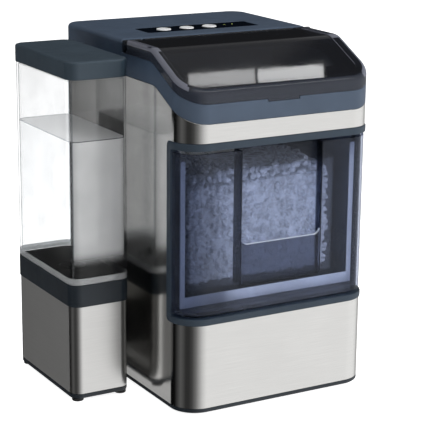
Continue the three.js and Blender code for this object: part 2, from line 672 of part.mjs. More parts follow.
function fanRotor() {
  const { x, y, z, blade, hub, blades } = FAN;
  const pieces = [rod("y", hub, y - 7, y + 8, 0, 0), rod("y", 2.4, y - 11.5, y, 0, 0, 10)];
  for (let i = 0; i < blades; i++) {
    const length = blade - hub + 4;
    const geometry = new THREE.BoxGeometry(22, 1.6, length);
    geometry.rotateZ(THREE.MathUtils.degToRad(28)).translate(0, y, hub - 4 + length / 2);
    pieces.push(solidOf(geometry.rotateY((2 * Math.PI * i) / blades)));
  }
  return union(pieces).translate([x, 0, z]);
}

// A copper line from the compressor to the condenser.
function refrigerantLine() {
  const { x, y, top } = COMPRESSOR;
  const start = [x - 16, y - 8];
  const route = [[...start, top + 1], [...start, top + 16], [x - 12, y + 18, top + 26]];
  route.push([x + 4, 305, top + 28], [x + 34, 305, top + 28], [CONDENSER.x0 - GAP, 305, top + 28]);
  return tube(route, 3, 16, 6);
}

// ---- Water ----

function reservoir() {
  const { x0, x1, y0, y1, top, stemX, stemY } = RESERVOIR;
  const base = PAN.floor + GAP;
  const tray = box(x0, x1, y0, y1, base, top).subtract(box(x0 + 2, x1 - 2, y0 + 2, y1 - 2, base + 2, top + 1));
  return tray.add(rod("z", 3, base + 1, top - 2, stemX, stemY, 12));
}

function reservoirFloat() {
  const { stemX, stemY } = RESERVOIR;
  return rod("z", 12, 50, 64, stemX, stemY).subtract(rod("z", 3.6, 40, 70, stemX, stemY, 12));
}

function waterPump() {
  const body = rod("z", 20, PAN.floor + GAP, 48, 178, 110);
  const outlet = rod("z", 5, 47, 60, 178, 110, 12);
  const inlet = rod("x", 5, 140, 160, 110, 22, 12);
  return union([body, outlet, inlet]);
}

function powerBoard() {
  const board = box(150, 240, 156, 214, 14, 15.6);
  const posts = [[156, 162], [234, 162], [156, 208], [234, 208]];
  const standoffs = posts.map(([x, y]) => rod("z", 3, PAN.floor + GAP, 15, x, y, 8));
  const transformer = box(160, 190, 166, 196, 15, 40);
  const relay = box(204, 222, 168, 182, 15, 31);
  return union([board, transformer, relay, ...standoffs]);
}

// ---- Side water tank ----

function tankBaseShell() {
  const inside = prism(tankPlan(TANK_BASE_INSET + SHEET), 5, 120);
  const sleeve = prism(tankPlan(TANK_BASE_INSET), 10, COLLAR.bottom - GAP).subtract(inside);
  return sleeve.subtract(rod("x", DOCK.hole, -25, -5, DOCK.y, DOCK.z, 12));
}

function tankBasePan() {
  const flange = prism(tankPlan(TANK_BASE_INSET), 4, 9.7);
  const rimInset = TANK_BASE_INSET + SHEET + GAP;
  const hollow = prism(tankPlan(rimInset + 2.5), 7, 23);
  const rim = prism(tankPlan(rimInset), 9, 22).subtract(hollow);
  const holes = tankFootPlaces().map(([x, y]) => rod("z", 3.4, 0, 8, x, y, 12));
  return flange.subtract(hollow).add(rim).subtract(union(holes));
}

function tankFootPlaces() {
  const inset = TANK_FOOT_INSET;
  const along = [TANK.front + inset, TANK.front + TANK.depth - inset];
  return [-TANK.gap - TANK.width + inset, -TANK.gap - inset].flatMap((x) => along.map((y) => [x, y]));
}

function tankFoot([x, y]) {
  const profile = [[0, 0], [6.2, 0], [7, 0.7], [7, 3.7], [3, 3.7], [3, 6.8], [0, 6.8]];
  return turned(profile, x, y, 10);
}

function tankCollar() {
  const { bottom, top } = COLLAR;
  const block = prism(tankPlan(0), bottom, top);
  const hollow = prism(tankPlan(WALL), bottom - 1, top - 4);
  const socketWall = rod("z", SOCKET.radius + WALL, SOCKET.floor - 3, top, SOCKET.x, SOCKET.y, 24);
  const socket = rod("z", SOCKET.radius, SOCKET.floor, top + 1, SOCKET.x, SOCKET.y, 24);
  const seatPin = rod("z", 2.4, SOCKET.floor - 1, NECK.bottom - 0.8, SOCKET.x, SOCKET.y, 12);
  const outlet = rod("z", 3, SOCKET.floor - 6, SOCKET.floor + 1, SOCKET.x, SOCKET.y + 9, 12);
  return block.subtract(hollow).add(socketWall).subtract(socket).add(seatPin).subtract(outlet);
}

function sideTank() {
  const { bottom, floor, foot, shoulder, rim } = TANK_BODY;
  const outer = prism(tankPlan(0), bottom, foot)
    .add(prism(tankPlan(0.6), foot - 1, shoulder))
    .add(prism(tankPlan(3), shoulder - 1, rim));
  const inner = prism(tankPlan(3.2), floor, shoulder - 2.4).add(prism(tankPlan(5.4), floor, rim + 1));
  const neck = rod("z", NECK.outer, NECK.bottom, bottom + 1, SOCKET.x, SOCKET.y, 20).subtract(
    rod("z", NECK.inner, NECK.bottom - 1, bottom, SOCKET.x, SOCKET.y, 20),
  );
  const holes = [rod("z", 2.7, 120, floor + 1, SOCKET.x, SOCKET.y, 12)];
  for (let i = 0; i < 3; i++) {
    const angle = (2 * Math.PI * i) / 3;
    const x = SOCKET.x + 7 * Math.cos(angle);
    const y = SOCKET.y + 7 * Math.sin(angle);
    holes.push(rod("z", 2.6, bottom - 1, floor + 1, x, y, 10));
  }
  return outer.subtract(inner).add(neck).subtract(union(holes));
}

function tankLid() {
  const skirt = softPrism(tankPlan(0), TANK_LID.bottom, TANK_LID.top, 2.5);
  return skirt.subtract(prism(tankPlan(2.6), TANK_LID.bottom - 1, TANK_LID.top - 5));
}

function valveCap() {
  const disc = rod("z", NECK.inner - GAP, 131, 133.6, SOCKET.x, SOCKET.y, 20);
  return disc.subtract(rod("z", 4.2, 130, 135, SOCKET.x, SOCKET.y, 12));
}

function valvePlunger() {
  const stem = rod("z", 2, NECK.bottom - 0.4, 153, SOCKET.x, SOCKET.y, 12);
  return stem.add(rod("z", 7, 134, 136, SOCKET.x, SOCKET.y, 16));
}

function valveSpring() {
  const turns = 4;
  const path = new HelixCurve(4.4, turns, 137, 144);
  const geometry = new THREE.ExtrudeGeometry(rectangle(1, 1), { steps: turns * 9, extrudePath: path });
  return solidOf(geometry.translate(SOCKET.x, SOCKET.y, 0));
}

function transferPump() {
  const body = rod("z", 20, 7.3, 70, SOCKET.x, SOCKET.y);
  const nipple = rod("z", 6, 69, SOCKET.floor - 3 - GAP, SOCKET.x, SOCKET.y + 9, 12);
  return body.add(nipple).subtract(rod("z", 3, 80, 120, SOCKET.x, SOCKET.y + 9, 12));
}

// The block that holds the tank base to the main unit, with the water passage through it.
function dockingBracket() {
  const block = box(-TANK.gap - TANK_BASE_INSET + GAP, -GAP, DOCK.y - 20, DOCK.y + 20, DOCK.z - 22, DOCK.z + 22);
  return block.subtract(rod("x", DOCK.hole, -20, 5, DOCK.y, DOCK.z, 12));
}

// ---------------------------------------------------------------------------------------------------------------
// Assembly
// ---------------------------------------------------------------------------------------------------------------
addPart("base_pan", basePan(), DARK_NAVY, 0.5);
footPlaces().forEach((place, i) => addPart(`foot_${i + 1}`, foot(place), RUBBER, 0.8));
addPart("steel_wrap", steelWrap(), STEEL_GREY, 0.3, 1);
addPart("rear_panel", rearPanel(), GREY, 0.6);
SCREW_PLACES.forEach((place, i) => addPart(`rear_screw_${i + 1}`, rearScrew(place), SILVER, 0.35, 1));
addPart("cord_gland", cordGland(), RUBBER, 0.7);
addPart("drain_spout", drainSpout(), WHITE, 0.5);
addPart("drain_cap", drainCap(), RUBBER, 0.7);
addPart("top_cap", topCap(), NAVY, 0.45);
addPart("lid", lid(), SMOKE, 0.08, 0, 0.6);
addPart("lid_hinge_pin_left", lidHingePin(HINGE.leftX), SILVER, 0.3, 1);
addPart("lid_hinge_pin_right", lidHingePin(BODY.width - HINGE.leftX), SILVER, 0.3, 1);

addPart("control_strip", controlStrip(), BLACK, 0.1);
BUTTON_NAMES.forEach((name, i) => addPart(name, pushButton(buttonPlaces()[i]), SILVER, 0.25, 1));
INDICATOR_PLACES.forEach((place, i) => addPart(`indicator_lens_${i + 1}`, indicatorLens(place), CLEAR, 0.2));
addPart("control_board", controlBoard(), GREEN, 0.6);

addPart("drawer_frame", drawerFrame(), BLUE_GREY, 0.45);
addPart("drawer_bay", drawerBay(), GREY, 0.55);
addPart("ice_drawer", iceDrawer(), SMOKE, 0.08, 0, 0.55);
addPart("ice_bin", iceBin(), CLEAR, 0.1, 0, 0.35);

addPart("ice_chute", iceChute(), WHITE, 0.5);
addPart("evaporator_barrel", evaporatorBarrel(), SILVER, 0.3, 1);
addPart("auger", auger(), SILVER, 0.25, 1);
addPart("ice_head", iceHead(), WHITE, 0.4);
addPart("gear_case", gearCase(), GREY, 0.5, 1);
addPart("drive_gear", driveGear(), WHITE, 0.5);
addPart("motor_pinion", motorPinion(), SILVER, 0.35, 1);
addPart("auger_motor", augerMotor(), SILVER, 0.35, 1);

addPart("compressor", compressor(), BLACK, 0.5);
addPart("condenser", condenser(), SILVER, 0.4, 1);
addPart("fan_shroud", fanShroud(), BLACK, 0.6);
addPart("fan_rotor", fanRotor(), BLACK, 0.5);
addPart("refrigerant_line", refrigerantLine(), COPPER, 0.35, 1);

addPart("reservoir", reservoir(), WHITE, 0.5);
addPart("reservoir_float", reservoirFloat(), WHITE, 0.6);
addPart("water_pump", waterPump(), BLACK, 0.5);
addPart("power_board", powerBoard(), GREEN, 0.6);

addPart("tank_base_shell", tankBaseShell(), STEEL_GREY, 0.3, 1);
addPart("tank_base_pan", tankBasePan(), DARK_NAVY, 0.5);
tankFootPlaces().forEach((place, i) => addPart(`tank_foot_${i + 1}`, tankFoot(place), RUBBER, 0.8));
addPart("tank_collar", tankCollar(), DARK_NAVY, 0.45);
addPart("side_tank", sideTank(), CLEAR, 0.05, 0, 0.3);
addPart("tank_lid", tankLid(), NAVY, 0.45);
addPart("valve_cap", valveCap(), WHITE, 0.5);
addPart("valve_plunger", valvePlunger(), RUBBER, 0.6);
addPart("valve_spring", valveSpring(), SILVER, 0.3, 1);
addPart("transfer_pump", transferPump(), BLACK, 0.5);
addPart("docking_bracket", dockingBracket(), BLACK, 0.6);

export default iceMaker;
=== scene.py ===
"""A countertop nugget ice maker on a pale studio floor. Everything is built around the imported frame.

Shapes are drawn in millimetres from the main unit's front left corner, at the height of the floor: X runs
right, Y runs back and Z runs up. to_metres() puts a point into the frame.
"""

import math
import random

import bmesh
import bpy
from mathutils import Matrix, Vector


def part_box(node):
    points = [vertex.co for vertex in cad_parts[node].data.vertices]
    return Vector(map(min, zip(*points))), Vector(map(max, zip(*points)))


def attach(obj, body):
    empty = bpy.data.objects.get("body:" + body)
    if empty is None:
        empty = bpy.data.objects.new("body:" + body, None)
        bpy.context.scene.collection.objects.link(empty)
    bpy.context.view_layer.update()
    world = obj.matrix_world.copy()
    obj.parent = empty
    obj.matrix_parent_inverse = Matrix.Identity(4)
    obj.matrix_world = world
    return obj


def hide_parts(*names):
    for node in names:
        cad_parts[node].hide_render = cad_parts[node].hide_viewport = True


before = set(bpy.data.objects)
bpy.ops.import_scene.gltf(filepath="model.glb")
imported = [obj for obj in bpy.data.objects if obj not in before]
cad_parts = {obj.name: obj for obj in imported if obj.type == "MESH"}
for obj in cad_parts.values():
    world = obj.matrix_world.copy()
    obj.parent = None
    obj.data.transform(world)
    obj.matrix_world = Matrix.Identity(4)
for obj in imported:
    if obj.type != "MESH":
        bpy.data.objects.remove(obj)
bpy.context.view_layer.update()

MM = 0.001
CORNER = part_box("steel_wrap")[0]
SCENE = bpy.context.scene

BODY = {"width": 257, "depth": 321, "height": 420, "front": 32, "back": 22}
ACROSS = (-5, BODY["width"] + 5)
TANK = {"x0": -92, "x1": -15, "y0": 102, "y1": 267, "radius": 14}
SLEEVE_INSET = 1.2
TANK_FOOT_INSET = 10.5
GAP = 0.3
SHEET = 1.4
WALL = 3
SLOPE = math.tan(math.radians(26))
SLOPE_BLEND = 30
CAP_EDGE = {"flat": 379, "front": 344}
LID_EDGE = {"flat": 405, "front": 366.5}
LID_TOP = {"flat": 420, "front": 381}
HINGE = {"y": 148.3, "z": 412.5, "radius": 7.5, "left": 23.8}
STEP_Y = 156.8
MOUTH = {"x0": 26, "x1": 231, "y0": 46, "y1": 138}
WINDOW = {"x0": 6, "x1": 251, "z0": 116.5, "z1": 313.5, "wrap": 32}
FRAME = {"z0": 109, "z1": 322, "back": 41, "proud": 1.1}
DRAWER = {"x0": 6.5, "x1": 250.5, "y0": 0.8, "y1": 210, "wrap": 31.4, "z0": 120.5, "z1": 310}
RECESS = {"x0": 75, "x1": 183, "depth": 12, "z0": 150, "grip": 199, "sweep": 9, "corner": 5}
BIN = {"x0": 24, "x1": 233, "y0": 40, "y1": 205, "z0": 138, "z1": 278, "radius": 12, "wall": 2}
STRIP = {"x0": 52.5, "x1": 208.5, "y0": 186.5, "y1": 227.5, "top": 419.6, "pocket": 2.5}
BUTTONS = {"power_button": 83, "clean_button": 115, "light_button": 147}
BUTTON = {"y": 206, "radius": 9, "top": 421, "bottom": 409, "flange": 10.6}
LAMPS = {"indicator_lens_1": (172, 212), "indicator_lens_2": (184, 213)}
LID_TAB = {"x0": 108, "x1": 149, "z0": 363.6, "depth": 3}
SOCKET = {"x": -53.5, "y": 184.5, "radius": 16, "floor": 122}
REAR = {"x0": 24, "x1": 233, "y": 318, "z0": 22.3, "z1": 378.7}
REAR_SCREWS = [(30, 40), (227, 40), (30, 370), (227, 370)]
GLAND = {"x": 208, "z": 38, "radius": 8}
DRAIN = {"x": 62, "z": 38, "radius": 6}
WATER_TOP = 315
PORT = {"y": 200, "z": 56, "radius": 5.5}


# ---- Outlines, in millimetres ----


def arc(x, y, radius, start, steps, turn=0.25):
    """Points of an arc about (x, y), from start and on through turn, both in whole turns."""
    angles = [2 * math.pi * (start + turn * i / steps) for i in range(steps + 1)]
    return [(x + radius * math.cos(a), y + radius * math.sin(a)) for a in angles]


def rounded_rect(x0, x1, y0, y1, low, high=None, steps=12):
    """A rectangle whose corners have the radius low at y0 and high at y1."""
    high = low if high is None else high
    points = arc(x1 - low, y0 + low, low, -0.25, steps) + arc(x1 - high, y1 - high, high, 0, steps)
    return points + arc(x0 + high, y1 - high, high, 0.25, steps) + arc(x0 + low, y0 + low, low, 0.5, steps)


def body_plan(inset):
    radii = (BODY["front"] - inset, BODY["back"] - inset)
    return rounded_rect(inset, BODY["width"] - inset, inset, BODY["depth"] - inset, *radii, steps=16)


def sides(part, inset=0):
    """A part's left, right, front and back, moved inwards."""
    return (part["x0"] + inset, part["x1"] - inset, part["y0"] + inset, part["y1"] - inset)


def tank_plan(inset):
    return rounded_rect(*sides(TANK, inset), TANK["radius"] - inset)


def shoulder_region(edge, side, drop, back=400):
    """The (y, z) region above or below a line that rises from the front and blends into a flat top."""
    steps = 8
    flat = edge["flat"] - drop
    angle = math.atan(SLOPE)
    knee = (edge["flat"] - edge["front"]) / SLOPE
    centre = (knee + SLOPE_BLEND * math.tan(angle / 2), flat - SLOPE_BLEND)
    line = [(-20, edge["front"] - drop - 20 * SLOPE)]
    for i in range(steps + 1):
        turn = angle * (1 - i / steps)
        line.append((centre[0] - SLOPE_BLEND * math.sin(turn), centre[1] + SLOPE_BLEND * math.cos(turn)))
    far = 500 if side == "above" else -20
    return [*line, (back, flat), (back, far), (-20, far)]


# ---- Solids ----


def to_metres(x, y, z):
    return Vector((CORNER.x + x * MM, CORNER.y + y * MM, z * MM))


def to_millimetres(place):
    return (place - Vector((CORNER.x, CORNER.y, 0))) / MM


def to_object(bm, name="shape"):
    bmesh.ops.recalc_face_normals(bm, faces=bm.faces)
    mesh = bpy.data.meshes.new(name)
    bm.to_mesh(mesh)
    bm.free()
    obj = bpy.data.objects.new(name, mesh)
    SCENE.collection.objects.link(obj)
    return obj


def skin(rings):
    """A closed mesh over rings of points of one length, from the first ring to the last."""
    bm = bmesh.new()
    loops = [[bm.verts.new(to_metres(*point)) for point in ring] for ring in rings]
    for lower, upper in zip(loops, loops[1:]):
        for i, vert in enumerate(lower):
            after = (i + 1) % len(lower)
            bm.faces.new((vert, lower[after], upper[after], upper[i]))
    bm.faces.new(reversed(loops[0]))
    bm.faces.new(loops[-1])
    bmesh.ops.remove_doubles(bm, verts=bm.verts, dist=0.002 * MM)
    return to_object(bm)


def extrude(outline, low, high, axis="z"):
    """A prism: an (x, y), (y, z) or (x, z) outline carried along the remaining axis."""
    place = {
        "x": lambda a, b, c: (c, a, b),
        "y": lambda a, b, c: (a, c, b),
        "z": lambda a, b, c: (a, b, c),
    }[axis]
    return skin([[place(a, b, level) for a, b in outline] for level in (low, high)])


def shoulder_block(edge, side, drop=0):
    """A shoulder region carried right across the main unit."""
    return extrude(shoulder_region(edge, side, drop), *ACROSS, "x")


def block(x0, x1, y0, y1, z0, z1):
    return extrude([(x0, y0), (x1, y0), (x1, y1), (x0, y1)], z0, z1)


def soft_block(plan, z0, z1, top, bottom=0.0, steps=6):
    """A plan outline raised from z0 to z1, with its top and bottom edges rounded over."""
    levels = []
    for i in range(steps + 1):
        turn = math.pi / 2 * (1 - i / steps)
        levels.append((bottom * (1 - math.cos(turn)), z0 + bottom * (1 - math.sin(turn))))
    for i in range(steps + 1):
        turn = math.pi / 2 * i / steps
        levels.append((top * (1 - math.cos(turn)), z1 - top * (1 - math.sin(turn))))
    rings = []
    for inset, z in levels:
        if not rings or abs(rings[-1][0][2] - z) > 1e-6:
            rings.append([(x, y, z) for x, y in plan(inset)])
    return skin(rings)


def lathe(profile, x, y, z=0, axis="z", steps=48):
    """A body of revolution about an axis through (x, y, z), from (radius, height along the axis) points."""
    rings = []
    for radius, height in profile:
        ring = []
        for a, b in arc(0, 0, max(radius, 1e-4), 0, steps, 1)[:-1]:
            ring.append((x + a, y + b, z + height) if axis == "z" else (x + a, y + height, z + b))
        rings.append(ring)
    return skin(rings)


def rod(axis, radius, low, high, a, b, steps=32):
    return extrude(arc(a, b, radius, 0, steps, 1)[:-1], low, high, axis)


def port(low, high):
    """The bore for the water between the tank's base and the main unit."""
    return rod("x", PORT["radius"], low, high, PORT["y"], PORT["z"])


def together(tools):
    """Separate solids as one object, so that one step can use them all."""
    bm = bmesh.new()
    for tool in tools:
        bm.from_mesh(tool.data)
        bpy.data.objects.remove(tool)
    return to_object(bm)


def settle(obj):
    """Applies the object's modifiers."""
    graph = bpy.context.evaluated_depsgraph_get()
    mesh = bpy.data.meshes.new_from_object(obj.evaluated_get(graph))
    old = obj.data
    obj.modifiers.clear()
    obj.data = mesh
    bpy.data.meshes.remove(old)
    return obj


def carve(base, *steps):
    """Cuts tools from a solid, adds them to it or keeps what lies inside them, in order."""
    operations = {"cut": "DIFFERENCE", "add": "UNION", "keep": "INTERSECT"}
    for kind, tool in steps:
        step = base.modifiers.new(kind, "BOOLEAN")
        step.operation = operations[kind]
        step.object = tool
        step.solver = "EXACT"
    settle(base)
    for _, tool in steps:
        bpy.data.objects.remove(tool)
    return base


def soften(obj, width, segments=2):
    """Rounds the sharp edges and shades the rest smoothly. With no width it only cleans and shades."""
    bm = bmesh.new()
    bm.from_mesh(obj.data)
    bmesh.ops.remove_doubles(bm, verts=bm.verts, dist=0.03 * MM)
    bmesh.ops.dissolve_degenerate(bm, dist=0.02 * MM, edges=bm.edges)
    bm.to_mesh(obj.data)
    bm.free()
    if width:
        round_edges(obj, width, segments, 30).use_clamp_overlap = False
        settle(obj)
    return smooth(obj)


def round_edges(obj, width, segments, angle):
    """A modifier that rounds the edges that are sharper than an angle."""
    rounding = obj.modifiers.new("round", "BEVEL")
    rounding.width = width * MM
    rounding.segments = segments
    rounding.limit_method = "ANGLE"
    rounding.angle_limit = math.radians(angle)
    return rounding


def smooth(obj, angle=35):
    obj.data.shade_smooth()
    obj.data.set_sharp_from_angle(angle=math.radians(angle))
    weighting = obj.modifiers.new("flats", "WEIGHTED_NORMAL")
    weighting.keep_sharp = True
    return flatten_broad_faces(settle(obj))


def flatten_broad_faces(obj):
    """Shades faces that are broad in both directions, by their area over their outline, as true planes."""
    breadth = 6 * MM
    mesh = obj.data
    normals = [corner.vector.copy() for corner in mesh.corner_normals]
    found = False
    for face in mesh.polygons:
        corners = [mesh.vertices[index].co for index in face.vertices]
        outline = sum((a - b).length for a, b in zip(corners, corners[1:] + corners[:1]))
        if face.area > breadth * outline:
            found = True
            for index in face.loop_indices:
                normals[index] = face.normal.copy()
    if found:
        mesh.normals_split_custom_set(normals)
    return obj


def piece(obj, name, body, *materials, replaces=(), slot=None):
    """Names a finished solid, gives it its materials and lets it ride on its body."""
    obj.name = name
    obj.data.name = name
    for material in materials:
        obj.data.materials.append(material)
    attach(obj, body)
    if replaces:
        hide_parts(*replaces)
    return obj


def paint(obj, index, test):
    """Gives a material index to the faces whose middle (in millimetres) and normal pass a test."""
    for face in obj.data.polygons:
        if test(to_millimetres(face.center), face.normal):
            face.material_index = index


# ---- Materials ----


def new_material(name):
    material = bpy.data.materials.new(name)
    material.use_nodes = True
    material.node_tree.nodes.clear()
    return material, material.node_tree


def node(tree, kind, inputs=None, **settings):
    """A new shader node. An input takes a value, a socket, or a node, which stands for its first output."""
    made = tree.nodes.new("ShaderNode" + kind)
    for key, value in settings.items():
        setattr(made, key, value)
    for key, value in (inputs or {}).items():
        if isinstance(value, bpy.types.Node):
            value = value.outputs[0]
        if isinstance(value, bpy.types.NodeSocket):
            tree.links.new(value, made.inputs[key])
        else:
            made.inputs[key].default_value = value
    return made


def finish_material(tree, shader):
    node(tree, "OutputMaterial", {"Surface": shader})


def noise(tree, size, stretch=(1, 1, 1), detail=2.0):
    """A noise whose features are about size metres across, drawn out along each axis by stretch."""
    place = node(tree, "TexCoord").outputs["Object"]
    scale = tuple(1 / (size * s) for s in stretch)
    mapped = node(tree, "Mapping", {"Vector": place, "Scale": scale})
    return node(tree, "TexNoise", {"Vector": mapped, "Scale": 1.0, "Detail": detail})


def between(tree, factor, low, high):
    """A number that follows a noise from low to high."""
    inputs = {"Value": factor, "From Min": 0.3, "From Max": 0.7, "To Min": low, "To Max": high}
    return node(tree, "MapRange", inputs)


def blend(tree, factor, first, second):
    """A colour that follows a noise from the first to the second."""
    return mix(tree, between(tree, factor, 0.0, 1.0), (*first, 1), (*second, 1))


def mix(tree, factor, first, second):
    return node(tree, "Mix", {0: factor, 6: first, 7: second}, data_type="RGBA").outputs[2]


def shade(colour, amount):
    return tuple(min(1.0, channel * amount) for channel in colour)


def bump(tree, height, distance, strength):
    return node(tree, "Bump", {"Height": height, "Distance": distance, "Strength": strength})


def plastic(name, colour, roughness, grain=0.0005, variation=0.08, specular=0.5):
    """Moulded plastic: a fine even grain, and faint clouds in colour and gloss."""
    material, tree = new_material(name)
    cloud = noise(tree, 0.045)
    inputs = {
        "Base Color": blend(tree, cloud, shade(colour, 1 - variation), shade(colour, 1 + variation)),
        "Roughness": between(tree, noise(tree, 0.018), roughness - 0.04, roughness + 0.05),
        "Normal": bump(tree, noise(tree, grain, detail=1.0), 0.00006, 0.35),
        "Specular IOR Level": specular,
    }
    finish_material(tree, node(tree, "BsdfPrincipled", inputs))
    return material


def brushed_steel(name, colour, roughness, anisotropic):
    """Sheet steel brushed along the horizontal, with fine streaks in its gloss and relief."""
    material, tree = new_material(name)
    fine = noise(tree, 0.0006, stretch=(70, 70, 1), detail=2.0)
    broad = noise(tree, 0.006, stretch=(20, 20, 1))
    cloud = noise(tree, 0.06)
    tangent = node(tree, "Tangent", direction_type="RADIAL", axis="Z")
    tone = blend(tree, fine, shade(colour, 0.965), shade(colour, 1.03))
    patchy = between(tree, cloud, 0.0, 0.3)
    duller = mix(tree, patchy, tone, (*shade(colour, 0.9), 1))
    inputs = {
        "Base Color": duller,
        "Metallic": 1.0,
        "Roughness": between(tree, broad, roughness - 0.008, roughness + 0.008),
        "Anisotropic": anisotropic,
        "Anisotropic Rotation": 0.25,
        "Tangent": tangent,
    }
    finish_material(tree, node(tree, "BsdfPrincipled", inputs))
    return material


def metal(name, colour, roughness, stretch=(1, 1, 1)):
    """Bright or drawn metal with a light uneven finish."""
    material, tree = new_material(name)
    marks = noise(tree, 0.0015, stretch=stretch, detail=3.0)
    inputs = {
        "Base Color": blend(tree, noise(tree, 0.01), shade(colour, 0.88), shade(colour, 1.06)),
        "Metallic": 1.0,
        "Roughness": between(tree, marks, roughness - 0.05, roughness + 0.08),
        "Normal": bump(tree, marks, 0.00003, 0.3),
    }
    finish_material(tree, node(tree, "BsdfPrincipled", inputs))
    return material


def hazy(tree, tone, milk, through, haze):
    """A clear body with a share of haze, which passes on a share of the light from behind."""
    passing = node(tree, "BsdfTransparent", {"Color": tone})
    front_lit = node(tree, "BsdfDiffuse", {"Color": milk})
    back_lit = node(tree, "BsdfTranslucent", {"Color": milk})
    milky = node(tree, "MixShader", {0: through, 1: front_lit, 2: back_lit})
    return node(tree, "MixShader", {0: haze, 1: passing, 2: milky})


def see_through(name, tint, haze, haze_colour, roughness=0.03, reflect=0.04, shine=1.0, rim=1.0):
    """Thin transparent plastic: tinted, a little milky, and glossier and darker where it is seen aslant."""
    material, tree = new_material(name)
    cloud = noise(tree, 0.03)
    tone = blend(tree, cloud, shade(tint, 0.98), shade(tint, 1.02))
    facing = node(tree, "LayerWeight", {"Blend": 0.5}).outputs["Facing"]
    if rim < 1:
        edge = node(tree, "Math", {0: facing, 1: 4.0}, operation="POWER")
        tone = mix(tree, edge, tone, (*shade(tint, rim), 1))
    milk = blend(tree, noise(tree, 0.05), shade(haze_colour, 0.96), shade(haze_colour, 1.04))
    body = hazy(tree, tone, milk, 0.4, haze)
    steep = node(tree, "Math", {0: facing, 1: 5.0}, operation="POWER")
    share_inputs = {0: steep, 1: shine - reflect, 2: reflect}
    share = node(tree, "Math", share_inputs, operation="MULTIPLY_ADD")
    waves = bump(tree, noise(tree, 0.02), 0.0001, 0.15)
    gloss_inputs = {"Roughness": between(tree, cloud, roughness * 0.7, roughness * 1.4), "Normal": waves}
    gloss = node(tree, "BsdfGlossy", gloss_inputs)
    finish_material(tree, node(tree, "MixShader", {0: share, 1: body, 2: gloss}))
    return material


def rising(tree, low, high, least, most):
    """A share that grows with the height above the ground, from least at low to most at high (in metres)."""
    place = node(tree, "TexCoord").outputs["Object"]
    height = node(tree, "SeparateXYZ", {0: place}).outputs["Z"]
    inputs = {"Value": height, "From Min": low, "From Max": high, "To Min": least, "To Max": most}
    return node(tree, "MapRange", inputs, interpolation_type="SMOOTHSTEP")


def painted_light_water(name, haze):
    """Still water with painted light: clear at its foot and milky above, where the milkiness stands in for
    the light that real water refracts and reflects.
    """
    material, tree = new_material(name)
    tone = blend(tree, noise(tree, 0.05), (0.975, 0.98, 0.983), (0.985, 0.988, 0.99))
    share = rising(tree, 0.164, 0.184, 0.0, haze)
    finish_material(tree, hazy(tree, tone, (0.95, 0.955, 0.96, 1), 0.3, share))
    return material


def button_metal():
    """Satin silver lacquer over plastic, as on the push buttons."""
    material, tree = new_material("satin_silver")
    inputs = {
        "Base Color": blend(tree, noise(tree, 0.002), (0.74, 0.75, 0.76), (0.84, 0.85, 0.86)),
        "Metallic": 0.35,
        "Roughness": between(tree, noise(tree, 0.003), 0.3, 0.42),
    }
    finish_material(tree, node(tree, "BsdfPrincipled", inputs))
    return material


def ice_material():
    """Pressed nugget ice: cloudy inside, wet outside."""
    material, tree = new_material("nugget_ice")
    crystals = noise(tree, 0.004, detail=4.0)
    inputs = {
        "Base Color": blend(tree, crystals, (0.74, 0.77, 0.82), (0.96, 0.97, 0.98)),
        "Roughness": between(tree, noise(tree, 0.006), 0.08, 0.45),
        "IOR": 1.31,
        "Transmission Weight": between(tree, noise(tree, 0.009), 0.0, 0.55),
        "Normal": bump(tree, crystals, 0.0015, 0.5),
    }
    finish_material(tree, node(tree, "BsdfPrincipled", inputs))
    return material


def floor_material():
    """A pale studio floor that is lit a little from within, so that shadows stay light."""
    material, tree = new_material("pale_floor")
    tone = blend(tree, noise(tree, 0.6), (0.87, 0.87, 0.87), (0.9, 0.9, 0.9))
    matt = node(tree, "BsdfDiffuse", {"Color": tone})
    glow = node(tree, "Emission", {"Color": (1, 1, 1, 1), "Strength": 0.9})
    finish_material(tree, node(tree, "AddShader", {0: matt, 1: glow}))
    return material


NAVY = plastic("navy_plastic", (0.034, 0.052, 0.082), 0.42)
TANK_NAVY = plastic("tank_navy_plastic", (0.021, 0.034, 0.047), 0.42)
DARK_NAVY = plastic("dark_navy_plastic", (0.008, 0.013, 0.019), 0.38)
FRAME_NAVY = plastic("frame_plastic", (0.021, 0.032, 0.046), 0.40, specular=0.3)
STEEL = brushed_steel("brushed_steel", (0.83, 0.825, 0.81), 0.14, 0.7)
TANK_STEEL = brushed_steel("tank_steel", (0.83, 0.825, 0.81), 0.3, 0.35)
BUTTON_METAL = button_metal()
STRIP_BLACK = plastic("gloss_black", (0.002, 0.003, 0.005), 0.12, grain=0.004, specular=0.0)
SILVER = metal("bright_metal", (0.82, 0.83, 0.84), 0.22)
RUBBER = plastic("rubber", (0.012, 0.012, 0.013), 0.75, grain=0.0008)
WHITE = plastic("white_plastic", (0.78, 0.78, 0.75), 0.45)
GREY = plastic("grey_plastic", (0.17, 0.19, 0.22), 0.5)
LINER = plastic("liner_plastic", (0.30, 0.33, 0.38), 0.5)
BLACK_PLASTIC = plastic("black_plastic", (0.010, 0.011, 0.012), 0.55)
ENAMEL = plastic("black_enamel", (0.008, 0.008, 0.009), 0.25, grain=0.006)
ALUMINIUM = metal("aluminium", (0.74, 0.75, 0.76), 0.34, stretch=(1, 1, 12))
COPPER = metal("copper", (0.78, 0.40, 0.24), 0.28)
BOARD = plastic("circuit_board", (0.014, 0.10, 0.035), 0.35, grain=0.003, variation=0.4)
SMOKE = see_through("smoked_plastic", (0.58, 0.605, 0.67), 0.03, (0.38, 0.43, 0.54), reflect=0.014)
# Painted shade: a far darker smoke for the recess's walls and the drawer's upper rim, standing in for the
# dark outline they show.
PAINTED_SHADE_TINT = (0.16, 0.18, 0.24)
SMOKE_PAINTED_SHADE = see_through("smoked_painted_shade", PAINTED_SHADE_TINT, 0.1, (0.03, 0.035, 0.05), reflect=0.015, shine=0.25)
